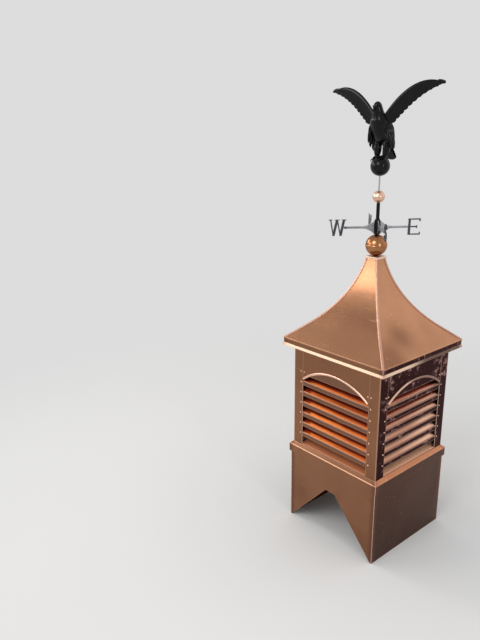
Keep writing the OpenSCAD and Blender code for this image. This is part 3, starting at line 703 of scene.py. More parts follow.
def arch_panels():
    columns = columns_at([y for y, _ in spans(PANEL_HALF, 5.0)] + [-POST_IN, POST_IN], PANEL_HALF)
    rows = [d / 100 for d in spaced(100, 10.0, (1.5, 5.0))]
    for side, name in enumerate(SIDES):
        sheet = walled(columns, rows, arch_floor, SOFFIT_Z, PANEL_R, 0.25, 110, side * 2.1)
        shape = Shape().add(*sheet, turn=side)
        # The plain sides get painted shade.
        shape.piece(name + "_arch_sheet", [COPPER], name + "_arch_panel", painted_shades=side_shades(shape))


def along_side(x, y):
    """How far a point of a plain side is from the side's middle, seen from outside with right positive."""
    return y if x > 0 else -y


def arch_beads():
    shape = Shape()
    sweep = math.asin((POST_IN - 0.4) / (ARCH_R + BEAD_W))
    steps, sides = 90, 10
    for side in range(4):
        rings = []
        for j in range(steps + 1):
            a = -sweep + 2 * sweep * j / steps
            swell = 1 + 0.05 * ripple((a * ARCH_R, side * 40, 0), 14)
            ring = []
            for b in (math.pi * k / sides for k in range(sides + 1)):
                reach = ARCH_R + BEAD_W / 2 - BEAD_W / 2 * math.cos(b)
                ring.append((PANEL_R + BEAD_W / 2 * math.sin(b) * swell, reach * math.sin(a),
                             ARCH_CENTRE_Z + reach * math.cos(a)))
            rings.append(ring)
        shape.add(*skin(rings), 0.55, turn=side)
    # Painted shade: the beads on the plain sides darken towards their right-hand ends.
    painted_shades = [0.75 * side_shade(x, y, z) * smooth((along_side(x, y) + 75) / 60) for x, y, z in shape.verts]
    shape.piece("arch_bead_sheet", [PALE_COPPER], "arch_beads", painted_shades=painted_shades)


def blade(shape, z, lip, lip_r, side, seed):
    """Louver blade: a hanging lip with a folded hem, laps at its ends and a slope that rises inwards."""
    hem = 1.8
    hem_h = min(8.0, lip - 3)
    lip_path = [(lip_r - hem, z - lip + hem_h), (lip_r - hem, z - lip), (lip_r, z - lip)]
    line = folded(lip_path + [(lip_r, z), (lip_r - BLADE_RUN, z + BLADE_RISE)], 1.5, 4.0)
    half = min(POST_IN + LAP, BODY_R - 3 * SHEET - BLADE_RUN)

    def place(a, b, y):
        return np.array((a, y, b + 0.35 * ripple((y, z, seed), 60)))

    verts, faces, edge, seam = swept(line, spans(half), place, 0.35, 80.0)
    start = len(shape.faces)
    shape.add(verts, faces, edge, seam, turn=side)
    count = len(line[0])
    rows = [2 * count - 2 - face[0] % (2 * count) for face in faces]
    # Copies by face: the lip's own, the slope's painted light, and the inner face's painted shade.
    shape.kinds[start:] = [2 if row > count - 2 else int(line[0][row][1] > z + 0.4) for row in rows]
    lap = folded(lip_path + [(lip_r, z - 1.5)], 1.5, 12.0)
    for s in (-1, 1):
        ends = [(s * (half + d * (PANEL_HALF - half)), 3.0) for d in (0.0, 0.5, 1.0)]
        shape.add(*swept(lap, ends, place, 0.0), turn=side)


# Depth at which the painted shade under the lip above starts on a slope, and a further darkening of each
# slope, from the lowest blade up: plain sides, then the others
SHADE_DEPTHS = ((24, 24, 15, 9, 6, 5, 6), (8.5, 7.5, 8.0, 7.0, 9.5, 6.0, 5.5))
ROW_DARKENING = ((0.05, 0.05, 0.2, 0.25, 0.3, 0.3, 0.2), (0.35, 0.12, 0.0, 0.12, 0.62, 0.0, 0.1))


def blade_shade(v, side):
    """Painted shade on a blade: its slope darkens to red inwards, where the lip above shades it, towards its
    ends, with the post's painted shadow at one end on the notched sides, and from blade to blade; the lips on
    the plain sides take their side's painted shade.
    """
    x, y, z = v
    out, along = ((x, y), (y, -x), (-x, -y), (-y, x))[side]
    depth = PANEL_R - out
    notched = side % 2
    if depth < 2.5:
        return 0.0 if notched else side_shade(x, y, z)
    row = round((z - FOOT_Z - FIRST_BLADE - 0.9 * depth) / BLADE_PITCH)
    wander = ripple((along, row * 40, side), 60)
    shade_depth, row_dark = SHADE_DEPTHS[notched][row % BLADES], ROW_DARKENING[notched][row % BLADES]
    if notched:
        inwards = smooth((depth - shade_depth - 1.5 * wander) / 5)
        ends = 0.9 * smooth((50 - along - POST_IN + 8 * ripple((row * 30, 0, 0), 20)) / 16)
        right = 0.30 * smooth((along + 60) / 180)
        row_dark *= 0.9 + 0.5 * wander
    else:
        inwards = smooth((depth - shade_depth - 2 * wander) / 6)
        ends = 0.0
        right = 0.35 * smooth((100 - along) / 200)
        row_dark *= 0.8 + 0.5 * wander
    return 1 - (1 - 0.97 * inwards) * (1 - ends) * (1 - row_dark) * (1 - right)


def louvers():
    for side, name in enumerate(SIDES):
        shape = Shape()
        for i in range(BLADES):
            h = FIRST_BLADE + i * BLADE_PITCH
            behind_arch = h + 2 * SHEET > SPRING_Z - FOOT_Z
            lip_r = PANEL_R - (SHEET if behind_arch else 0)
            lift = SPRING_Z + ARCH_RISE + TOP_LAP - FOOT_Z - h if i == BLADES - 1 else 0
            blade(shape, FOOT_Z + h + lift, BLADE_LIP + lift, lip_r, side, 7 * side + i)
        # The slopes' copy paints their light: bright orange on the notched sides, pale tan on the plain
        # sides.
        slope = SLOPE_COPPER if name in ("front", "back") else SIDE_SLOPE_COPPER
        # Painted shade and shadow on the blades.
        painted_shades = [blade_shade(v, side) for v in shape.verts]
        mats = [LIP_COPPER, slope, INNER_COPPER]
        shape.piece(name + "_louver_sheets", mats, name + "_louvers", "dark_copper", painted_shades=painted_shades)


def sills():
    """Sill under the lowest blade of each side: a short riser and a slope that rises inwards."""
    z = FOOT_Z + SHEET + SILL_RISER
    path = [(PANEL_R, FOOT_Z + SHEET + 0.3), (PANEL_R, z), (PANEL_R - BLADE_RUN, z + SILL_RISE - SHEET)]
    along = spans(POST_IN - SHEET)
    sheet = swept(folded(path, 1.5, 10.0), along, lambda a, b, y: np.array((a, y, b)), 0.5, 90.0)
    shape = Shape()
    for side in range(4):
        shape.add(*sheet, turn=side)
    riser = [max(abs(x), abs(y)) > PANEL_R - 1.2 and h < z - 0.3 for x, y, h in shape.verts]
    shape.paint(riser)
    # The slope takes the pale copy, painted light, turned orange by painted shade on the plain sides; the
    # riser takes its side's painted shade.
    painted_shades = [side_shade(x, y, h + 9) if upright else 0.8 * smooth(abs(y) - abs(x))
            for (x, y, h), upright in zip(shape.verts, riser)]
    shape.piece("sill_sheets", [SILL_COPPER, COPPER], "louver_sills", painted_shades=painted_shades)


def rivets():
    """Pop rivets down both edges of every opening and at the ends of the arch panels."""
    dome = [(0.02, 0.8), (0.6, 0.78), (0.95, 1.05), (1.3, 1.4), (1.8, 1.5), (2.5, 1.28), (3.1, 0.75),
            (3.4, 0.15), (3.4, -0.3), (0.02, -0.3)]
    post_y, arch_y, arch_h, drop = 188, 172, 41, 4.5
    lips = [FOOT_Z + FIRST_BLADE + i * BLADE_PITCH - drop for i in range(BLADES)]
    spots = [(s * (post_y + 1.2 * ripple((i, s, 2), 0.7)), z, BODY_R)
             for i, z in enumerate(lips) for s in (-1, 1)]
    spots += [(s * arch_y, SPRING_Z + arch_h, PANEL_R) for s in (-1, 1)]
    shape = Shape()
    for side in range(4):
        for y, z, r in spots:
            rings = [[(r + h, y + q * math.cos(a), z + q * math.sin(a)) for a in around(14)] for q, h in dome]
            shape.add(*skin(rings), 0.9, turn=side)
    shape.piece("pop_rivets", [PALE_COPPER])


# Eaves and roof

def soffit():
    ring = square_ring([(ROOF_R - SHEET - 0.2, SOFFIT_Z), (BODY_R - FLANGE, SOFFIT_Z)], wave=0.2, side=-1)
    Shape().add(*ring).piece("soffit_sheet", [LIP_COPPER], "eave_soffit", "dark_copper")


def fascia():
    """Band round the eaves with a flared drip edge, which is paler, a painted highlight."""
    path = [(DRIP_R - HEM - 0.9, DRIP_LOW + 5), (DRIP_R - HEM, DRIP_LOW), (DRIP_R, DRIP_LOW),
            (ROOF_R, SOFFIT_Z), (ROOF_R, EAVE_Z)]
    verts, faces, edge, seam = square_ring(path, 1.5, wave=0.4)
    flared = [z < SOFFIT_Z + 0.3 for x, y, z in verts]
    # Neither wear nor painted highlight on the flared drip edge.
    shape = Shape().add(verts, faces, [0.0 if pale else e for e, pale in zip(edge, flared)], seam)
    shape.paint(flared)
    # Painted shade: the plain sides darken, their drip edge towards its right-hand end.
    painted_shades = [side_shade(x, y, z) * (0.88 * smooth((along_side(x, y) + 115) / 130) if pale else 1)
            for (x, y, z), pale in zip(verts, flared)]
    shape.piece("fascia_sheet", [COPPER, DRIP_COPPER], "eave_fascia", painted_shades=painted_shades)
    return path


def roof_shade(x, y, z, side):
    """Painted reflection and shade on the roof: on the plain sides a round dark patch low down, the painted
    reflection of a dark thing, and painted shade low towards their left-hand hip; on the other sides a darker
    tone with a broad darker band half way up that fades at the hips.
    """
    if side % 2:
        return 0.22 + 0.42 * smooth(1 - abs(z - 1000) / 75) * smooth((ROOF_R - abs(x)) / 60)
    along = along_side(x, y)
    blob = math.exp(-((along + 62) / 58) ** 2 - ((z - 940) / 42) ** 2)
    corner = smooth((-along - 80) / 90) * smooth((965 - z) / 60)
    return min(0.72, 0.7 * blob + 0.7 * corner)


def roof_curve(steps=40):
    """Radius and height along the outer face of the roof, a flare and then an arc that steepens."""
    flare_r = ROOF_R - FLARE_RUN
    flare_z = EAVE_Z + FLARE_RUN * math.tan(EAVE_ANGLE)
    top = 2 * math.atan2(ROOF_TOP - flare_z, flare_r - ROOF_TOP_R) - EAVE_ANGLE
    arc = (flare_r - ROOF_TOP_R) / (math.sin(top) - math.sin(EAVE_ANGLE))
    angles = [EAVE_ANGLE + (top - EAVE_ANGLE) * i / steps for i in range(steps + 1)]
    return [(ROOF_R, EAVE_Z)] + [(flare_r - arc * (math.sin(a) - math.sin(EAVE_ANGLE)),
                                  flare_z + arc * (math.cos(EAVE_ANGLE) - math.cos(a))) for a in angles]


def roof():
    line = folded([(ROOF_R + 1.1, EAVE_Z - 3.6), (ROOF_R + 1.1, EAVE_Z + 0.4), *roof_curve()[1:]], 1.3, 9.0)
    for side, name in enumerate(SIDES):
        sheet = swept(line, side_spans(ROOF_R, 12.0), lambda a, b, u: on_ring(a, u, b), 0.9, 140.0 + 9 * side,
                      soldered=True)
        shape = Shape().add(*sheet, turn=side)
        # Painted reflection and shade on the roof.
        painted_shades = [roof_shade(*v, side) for v in shape.verts]
        shape.piece(name + "_roof_sheet", [ROOF_COPPER], name + "_roof", painted_shades=painted_shades)


def hip_caps():
    """Folded strip over each hip, soldered down, with a soft ridge along its middle."""
    foot, *rest = [(ROOF_R + 0.8, EAVE_Z - 0.6), *roof_curve(60)[1:]]
    start, leg = np.array(foot), np.array(rest[0]) - np.array(foot)
    line = [foot] + [tuple(start + leg * f) for f in (0.1, 0.2, 0.35, 0.5, 0.65, 0.8)] + rest
    spread = [-1.0, -0.93, -0.7, -0.4, -0.15, 0.0, 0.15, 0.4, 0.7, 0.93, 1.0]
    shape = Shape()
    for side in range(4):
        rings = []
        for i, (r, z) in enumerate(line):
            a = steepness(line, i)
            wide = RIB_W * (1 + 0.16 * ripple((r, z, side * 30), 22))
            ring = []
            for s, upper in [(s, True) for s in spread] + [(s, False) for s in reversed(spread)]:
                lift = -0.2
                if upper:
                    lift = RIB_T * (0.55 + 0.45 * (1 - abs(s)) ** 0.5)
                    lift *= 1 + 0.12 * ripple((s * 9, z, r + side), 12)
                share = 0.5 + 0.5 * smooth(abs(s) / 0.25)
                n = unit(np.array((math.sin(a) * share, math.sin(a) * (1 - share), math.cos(a))))
                x, y, h = np.array((r, r - min(abs(s) * wide, r - 0.5), z)) + n * lift
                ring.append((y, x, h) if s > 0 else (x, y, h))
            rings.append(ring)
        shape.add(*skin(rings), 0.8, 0.93, turn=side)
    shape.piece("hip_seam_caps", [PALE_COPPER], "hip_seams")


def cap():
    ring = square_ring([(CAP_R, CAP_LOW), (CAP_R, CAP_Z), (CAP_HOLE, CAP_Z)], pitch=6.0, wave=0.25)
    Shape().add(*ring).piece("cap_sheet", [DRIP_COPPER], "roof_cap")


def solder_seams(collar_path, fascia_path):
    """Solder drawn along the corners of the skirt, collar, fascia and cap."""
    cap_path = [(CAP_R, CAP_LOW + 1), (CAP_R, CAP_Z - 0.6), (CAP_R * 0.4, CAP_Z - 0.2)]
    corner = SKIRT_R - 0.4
    shape = Shape()
    for side in range(4):
        upright = between((corner, corner, 1.6), (corner, corner, SKIRT_TOP - 1))
        shape.add(*bead(upright, 1.3, side, 0.45), turn=side)
        for path, r in ((collar_path[2:5], 1.1), (fascia_path[2:], 1.1), (cap_path, 0.9)):
            diagonal = [(out - 0.5, out - 0.5, z) for out, z in path]
            points = [p for a, b in zip(diagonal, diagonal[1:]) for p in between(a, b, 3.0)]
            shape.add(*bead(points, r, side + r, 0.5), turn=side)
    shape.piece("solder_seams", [SOLDER], slot="steel")


# Mast

def ball_of(node):
    """Height of a ball's centre, and its radius."""
    return (high(node)[2] + low(node)[2]) / 2, (high(node)[0] - low(node)[0]) / 2


def ball_profile(r):
    """Two spun halves, the upper one lapped over the lower one in a raised band."""
    profile = []
    for a in half_turn(64):
        h = r * math.sin(a)
        band = 0.55 * smooth((2.2 - abs(h)) / 0.8) + 0.25 * smooth((3.6 - abs(h - 0.8)) / 0.7)
        if abs(h) > 3.0:
            profile.append((max(ROD_HOLE, r * math.cos(a)) + band, h))
    rim = ((-0.06, 0.28), (-0.045, 0.75), (0.0, 0.8), (0.045, 0.75), (0.06, 0.28))
    profile += [(r * math.cos(a) + proud, r * math.sin(a)) for a, proud in rim]
    return sorted(profile, key=lambda p: p[1])


def balls():
    """Spun balls, a little smaller than the solids, so that their raised bands stay inside them."""
    for node, mat, slot in (("large_ball", BALL_COPPER, "dark_copper"),
                            ("small_ball", PALE_COPPER, "copper")):
        z, r = ball_of(node)
        Shape().add(*lathe(ball_profile(r - 0.8), z)).piece(node + "_shell", [mat], node, slot)


def turned(points, z, radius, segments=96):
    """Turned form with its corners rounded."""
    return lathe([tuple(p) for p in fold_line(points, radius, 12.0)[0]], z, segments)


def hub_and_tube():
    """Turned hub with four pairs of ribs between the arms, and the plain tube above it."""
    r, _, top = high("compass_hub")
    z = low("compass_hub")[2]
    h = top - z
    tube_r, _, tube_top = high("spacer_tube")
    tube_z = low("spacer_tube")[2]
    tube_h = tube_top - tube_z
    profile = [(ROD_HOLE, 0.2), (r - 2.5, 0.2), (r, 3.4), (r, 7.5), (r - 1.8, 9.5), (r - 1.8, h - 17),
               (r, h - 15), (r, h - 9), (tube_r + 1.2, h - 2), (tube_r + 0.6, h), (ROD_HOLE, h)]
    shape = Shape().add(*turned(profile, z, 1.0))
    for side in range(4):
        a = math.radians(50 + 90 * side)
        out, across = np.array((math.cos(a), math.sin(a))), np.array((-math.sin(a), math.cos(a)))
        for s in (-1, 1):
            x, y = out * (r - 1.4) + across * 3.9 * s
            rings = []
            for f in np.linspace(0, 1, 15):
                k = 1.6 * math.sin(math.pi * f) ** 0.35 + 0.05
                rings.append([(x + k * math.cos(b), y + k * math.sin(b), z + 8 + (h - 22) * f)
                              for b in around(10)])
            shape.add(*skin(rings))
    shape.piece("hub_turning", [BLACK], "compass_hub", "black_paint")
    profile = [(ROD_HOLE, 0), (tube_r - 0.2, 0), (tube_r, 2), (tube_r, tube_h - 2), (tube_r - 0.2, tube_h),
               (ROD_HOLE, tube_h)]
    tube_form = turned(profile, tube_z, 0.8, 48)
    Shape().add(*tube_form).piece("spacer_turning", [BLACK], "spacer_tube", "black_paint")


def arms():
    """Compass castings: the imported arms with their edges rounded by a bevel."""
    for name in ("north_arm", "east_arm", "south_arm", "west_arm"):
        bm = bmesh.new()
        bm.from_mesh(NODES[name].data)
        bm.transform(NODES[name].matrix_world)
        bmesh.ops.remove_doubles(bm, verts=bm.verts, dist=0.02 * MM)
        bmesh.ops.dissolve_limit(bm, angle_limit=math.radians(0.6), verts=bm.verts, edges=bm.edges)
        flat = [f for f in bm.faces if len(f.verts) > 8]
        outline = [e for e in bm.edges if any(f in flat for f in e.link_faces)]
        made = bmesh.ops.bevel(bm, geom=outline, offset=0.9 * MM, segments=2, profile=0.6, affect="EDGES",
                               clamp_overlap=True)
        # The bevel faces take the paler metal, also a painted highlight.
        for f in made["faces"]:
            f.material_index = 1
        bmesh.ops.triangulate(bm, faces=[f for f in bm.faces if len(f.verts) > 4])
        mesh = bpy.data.meshes.new(name + "_casting")
        show(name + "_casting", bm, mesh, [CAST, DRESSED_AND_LIT], name, "cupola", "cast_aluminium", 50)


# Bird and globe. Its sizes are measured from the globe's centre, and it faces -Y.

GLOBE_Z, GLOBE_R = ball_of("vane_globe")
TIP_X = high("bird_left_wing")[0]
TIP_Z = 284
WING_Y = -19
WING_SWEEP = math.radians(5)


def curve(points, steps):
    """Smooth curve through rows of numbers, in so many steps from each row to the next."""
    rows = np.array(points, float)
    last = len(rows) - 1
    result = []
    for i in range(last):
        p0, p1, p2, p3 = rows[max(i - 1, 0)], rows[i], rows[i + 1], rows[min(i + 2, last)]
        for k in range(steps + (1 if i == last - 1 else 0)):
            t = k / steps
            result.append(0.5 * (2 * p1 + (p2 - p0) * t + (2 * p0 - 5 * p1 + 4 * p2 - p3) * t * t
                                 + (3 * p1 - p0 - 3 * p2 + p3) * t ** 3))
    return np.array(result)


def scales(a, b):
    """Height from 0 to 1 of overlapping rounded feathers, a counted across them and b in rows downwards."""
    first = math.ceil(b)
    tip, half = 0.62, 0.56
    for row in (first, first + 1, first + 2):
        back = row - b
        centre = math.floor(a - 0.5 * (row % 2) + 0.5) + 0.5 * (row % 2)
        off = abs(a - centre)
        wide = 0.5 * math.sqrt(max(0.0, 1 - ((tip - back) / tip) ** 2)) if back < tip else half
        if off < wide:
            shaft = 0.16 * max(0.0, 1 - off / 0.09)
            return max(0.0, 1 - 0.42 * back) * (1 - 0.5 * (off / half) ** 2) + shaft
    return 0.0


def feathered(rows, steps, sides, count, row_share, relief, bare=None):
    """Upright lofted form from rows of [x, y, z, rx, ry] with feathers in relief, tips down."""
    path = curve(rows, steps)[::-1]
    rings = []
    run = 0.0
    for i, (x, y, z, rx, ry) in enumerate(path):
        size = 2 * math.pi * math.sqrt((rx * rx + ry * ry) / 2) / count
        if i:
            run += np.linalg.norm(path[i][:3] - path[i - 1][:3]) / max(2.0, size * row_share)
        ring = []
        for k, a in enumerate(around(sides)):
            p = np.array((x + rx * math.cos(a), y + ry * math.sin(a), z))
            scale = scales(count * k / sides + 0.25 * ripple(p, 30), run + 0.3 * ripple(p, 24, 5.0))
            h = relief * size * (bare(p) if bare else 1) * (scale - 0.45)
            ring.append(p + h * np.array((math.cos(a), math.sin(a), 0.25)))
        rings.append(ring)
    return skin(rings)


def tube(path, radii, sides=12, flat=1.0):
    """Tube along points, flat times as thick one way as the other."""
    path = [np.array(p, float) for p in path]
    rings = []
    for i, (p, r) in enumerate(zip(path, radii)):
        way = heading(path, i)
        across = unit(np.cross(way, (0.0, 0.0, 1.0) if abs(way[2]) < 0.9 else (0.0, 1.0, 0.0)))
        other = np.cross(across, way)
        rings.append([p + r * (math.cos(a) * across + flat * math.sin(a) * other) for a in around(sides)])
    return skin(rings)


def feather(root, tip, bend, width, thick, place, depth, root_w, point, steps=14, sides=12):
    """Curved feather with a raised shaft, from root to tip in a plane that place(x, z, d) sets in space."""
    root, tip = np.array(root, float), np.array(tip, float)
    d = tip - root
    control = (root + tip) / 2 + np.array((-d[1], d[0])) / np.linalg.norm(d) * bend
    rings = []
    for j in range(steps + 1):
        t = j / steps
        t = t if t < 0.8 else 0.8 + 0.2 * math.sin((t - 0.8) / 0.2 * math.pi / 2)
        c = (1 - t) ** 2 * root + 2 * t * (1 - t) * control + t * t * tip
        way = unit(2 * (1 - t) * (control - root) + 2 * t * (tip - control))
        n = np.array((-way[1], way[0]))
        end = math.sqrt(max(0.0004, 1 - max(0.0, (t - 1 + point) / point) ** 2))
        w = width / 2 * (root_w + (1 - root_w) * smooth(t / 0.45)) * end
        lean = depth[0] + (depth[1] - depth[0]) * t
        ring = []
        for k, a in enumerate(around(sides)):
            x, z = c + n * math.cos(a) * w
            h = math.sin(a)
            rib = 0.45 * (1 - t) if k in (sides // 4, 3 * sides // 4) else 0.0
            proud = h * (0.35 + 0.65 * end) + rib * (1 if h > 0 else -1)
            ring.append(place(x, z, lean + thick / 2 * proud))
        rings.append(ring)
    return skin(rings)


def face_bare(p):
    """Fades the feathers out round the beak and the eyes."""
    return smooth((math.dist(p, (0, -56, 214)) - 8) / 12)


# Rows of [x, y, z, rx, ry] up the body, and of [y, z, rx, rz] out along the beak
TORSO = [[0, 15, 84, 15, 12], [0, 13, 93, 32, 27], [0, 8, 110, 40, 35], [0, 0, 136, 44, 38],
         [0, -9, 160, 43, 37], [0, -18, 180, 32, 28], [0, -26, 198, 21, 21], [0, -31, 214, 17, 19],
         [0, -33, 227, 13, 15], [0, -33, 234.5, 6, 7], [0, -33, 236, 1, 1.2]]
BEAK = [[-40, 214, 7.6, 8.2], [-49, 212.5, 6.4, 7.0], [-55, 208.5, 4.4, 5.2], [-58.5, 203, 2.2, 3.0],
        [-59.3, 198.4, 0.5, 0.8]]

# Feathers that hang from the shoulders: rows of [y, height of the tips, how far out they hang], and rows of
# [share of the height, how far the inner face stands out there, and the outer one]
CAPE = np.array([[-31, 110, 42], [-27, 96, 45], [-22, 87, 48], [-16, 98, 49], [-10, 77, 50], [-5, 71, 50.5],
                 [2, 85, 50.5], [8, 63, 50], [13, 57, 49], [19, 72, 47], [25, 67, 44.5], [31, 84, 41]])
CAPE_FORM = np.array([[0, -4, -1.5], [0.08, -5, 0], [0.25, -10, 1.2], [0.7, -14, 2.2], [0.9, -14, 1.2],
                      [1, -15, -6]])
INNER, OUTER = 1, 2


def cape_point(s, y, f, face, proud=0.0):
    """Point on the cape at y, f from 0 at the feathers' tips to 1 at the top. s is the side."""
    foot, out = np.interp(y, CAPE[:, 0], CAPE[:, 1]), np.interp(y, CAPE[:, 0], CAPE[:, 2])
    top_z = 158 - 0.45 * max(0, y - 3)
    top_x = 43 * math.sqrt(1 - ((y + 3) / 38) ** 2)
    x = out + (top_x - out) * f + np.interp(f, CAPE_FORM[:, 0], CAPE_FORM[:, face]) + proud
    return np.array((s * x, y, foot + (top_z - foot) * f))


def cape_feather(s, y, start, stop, width, thick, proud):
    """Feather that lies down the cape at y, from the share start of its height to the share stop."""
    steps = 18
    rings = []
    for j in range(steps + 1):
        t = j / steps
        f = start + (stop - start) * t
        centre = cape_point(s, y, max(f, 0.0), OUTER, proud) - np.array((0, 0, 60 * max(0.0, -f)))
        end = math.sqrt(max(0.0008, 1 - max(0.0, (t - 0.6) / 0.4) ** 2.2))
        w = width / 2 * (0.6 + 0.4 * smooth(t / 0.4)) * end
        rings.append([centre + np.array((s * (thick / 2 * (math.sin(a) + (0.35 if k in (2, 3) else 0.0))),
                                         w * math.cos(a), 0.0)) for k, a in enumerate(around(10))])
    return skin(rings)


def bird_body():
    """Body and head, with beak, brows and eyes, and the feathered capes that hang from the shoulders."""
    shape = Shape(GLOBE_Z)
    shape.add(*feathered(TORSO, 26, 220, 20, 0.7, 0.07, face_bare))
    beak = curve(BEAK, 6)
    rings = []
    for i, (y, z, rx, rz) in enumerate(beak):
        a = steepness(beak, i)
        rings.append([(rx * math.cos(b), y + rz * math.sin(b) * math.sin(a),
                       z + rz * math.sin(b) * math.cos(a)) for b in around(20)])
    shape.add(*skin(rings))
    jaw = [(0, -42, 206), (0, -48, 204.5), (0, -52.5, 202.5), (0, -55, 201)]
    shape.add(*tube(jaw, [4.6, 3.8, 2.4, 0.7], 14, 0.7))
    eye = ((0.1, 1.7), (1.6, 1.3), (2.6, 0.4), (2.9, -1.2))
    for s in (-1, 1):
        brow = [(s * 7.0, -50.5, 219), (s * 10.5, -47, 220.5), (s * 12.5, -41, 221), (s * 13.5, -35, 219)]
        shape.add(*tube(brow, [1.0, 2.0, 2.0, 0.7]))
        shape.add(*skin([[(s * 11.4 + q * math.cos(b) * 0.7 + s * h, -45.5 + q * math.sin(b) * -0.7 - 0.4 * h,
                           216.6 + q * math.cos(b + s * math.pi / 2) * s * -0.7) for b in around(14)]
                         for q, h in eye]))
        ys = np.unique(np.concatenate([np.linspace(-31, 31, 63), CAPE[:, 0]]))
        fs = np.linspace(0, 1, 17)
        shape.add(*skin([[cape_point(s, y, f, INNER) for f in fs]
                         + [cape_point(s, y, f, OUTER, -1.0) for f in fs[::-1]] for y in ys]))
        for y in (-29, -25.5, -21.5, -15, -10, -5.5, 2, 7.5, 13, 19, 24.5, 29):
            shape.add(*cape_feather(s, y, 0.96, -0.02, 7.4, 3.2, -0.6))
        for y in (-27, -20, -13, -6, 1, 8, 15, 22):
            shape.add(*cape_feather(s, y, 1.0, 0.42, 8.6, 3.4, 0.5))
    shape.casting("bird_casting", "bird_body")


def toe_and_claw(ankle, turn, reach):
    """Tubes over the globe from an ankle outwards, in the direction turn, knuckles a little proud."""
    start = unit(np.array(ankle))
    axis = unit(np.cross(start, np.array((math.sin(turn), -math.cos(turn), 0.0))))
    side = np.cross(axis, start)

    def over(run):
        return start * math.cos(run / GLOBE_R) + side * math.sin(run / GLOBE_R)

    toe, toe_r, claw, claw_r = [], [], [], []
    for f in (i / 16 for i in range(17)):
        knuckle = abs(math.sin(f * 2.5 * math.pi))
        toe_r.append((4.6 - 1.9 * f) * (0.88 + 0.18 * knuckle))
        toe.append(over(f * reach) * (GLOBE_R + toe_r[-1] * 0.75 + 0.8 * knuckle))
    for f in (i / 8 for i in range(9)):
        hook = math.sin(math.pi * min(1, f * 1.05))
        claw_r.append(max(0.25, 2.5 * (1 - f) ** 0.8))
        claw.append(over(reach + 11 * f) * (GLOBE_R + 2.4 + 3.6 * hook - 1.6 * f))
    return tube(toe, toe_r, 14), tube(claw, claw_r, 10)


def hanging(base, out):
    """Plane of a feather that hangs from base and faces the direction out."""
    across = np.array((-out[1], out[0], 0.0))
    return lambda x, z, d: base + np.array((0, 0, -1)) * x + across * z + out * (d - 0.05 * x)


def bird_legs():
    """Feathered thighs, each with three toes forwards and one back that grip the globe."""
    for s, name in ((1, "left"), (-1, "right")):
        shape = Shape(GLOBE_Z)
        rows = [[s * 19, 3, 37, 8.4, 9.2], [s * 19.5, 4, 46, 12, 12.4], [s * 20.5, 6, 64, 14, 15.4],
                [s * 21, 8, 84, 14, 16.4], [s * 20, 9, 104, 11, 16]]
        shape.add(*feathered(rows, 20, 96, 9, 1.3, 0.12))
        for a in around(9):
            out = np.array((math.cos(a + 0.2 * s), math.sin(a + 0.2 * s), 0.0))
            place = hanging(np.array((s * 19.8, 4.5, 58)) + out * 10.5, out)
            shape.add(*feather((0, 0), (21, 0), 1.0, 8.5, 2.6, place, (1.2, -2.4), 0.6, 0.5, 10, 8))
        shape.add(*tube([(s * 20, 2, z) for z in (50, 45, 41, 38, 36)], [6.5, 6.2, 6.4, 7.0, 6.0], 16))
        for turn, reach in ((-0.62, 22), (0.0, 26), (0.62, 22), (math.pi, 18)):
            for part in toe_and_claw((s * 20, 2, 34.5), turn, reach):
                shape.add(*part)
        shape.casting("bird_" + name + "_leg_casting", "bird_" + name + "_leg")


def bird_tail():
    """Fan of nine feathers under a row of seven short ones, below a feathered rump."""
    shape = Shape(GLOBE_Z)
    rump = [[0, 50, 54, 14, 5], [0, 43, 64, 18, 8], [0, 32, 82, 20, 13], [0, 20, 102, 20, 15]]
    shape.add(*feathered(rump, 16, 90, 12, 0.9, 0.15))
    slope = math.radians(63)
    root = np.array((0, 35, 88))

    def place(x, z, d):
        return root + np.array((x, z * math.cos(slope) + d * math.sin(slope),
                                -z * math.sin(slope) + d * math.cos(slope)))

    for i in range(-4, 5):
        a = math.radians(3.9 * i)
        tip = (76 * math.sin(a), 76 * math.cos(a) - 0.25 * i * i)
        depth = (1.6 - 0.3 * abs(i), 1.4 - 0.35 * abs(i))
        shape.add(*feather((2.2 * i, 0), tip, -0.6 * i, 15, 3.0, place, depth, 0.5, 0.16))
    for i in range(-3, 4):
        a = math.radians(5 * i)
        tip = (44 * math.sin(a), 44 * math.cos(a) - 0.5 * i * i)
        shape.add(*feather((3 * i, -10), tip, 0, 13, 3.4, place, (4.5, 3.4 - 0.2 * abs(i)), 0.5, 0.3))
    shape.casting("bird_tail_casting", "bird_tail")


def bezier(p, t):
    """Point at the share t of a curve with four control points."""
    a, b, c, d = np.array(p, float)
    return (1 - t) ** 3 * a + 3 * t * (1 - t) ** 2 * b + 3 * t * t * (1 - t) * c + t ** 3 * d


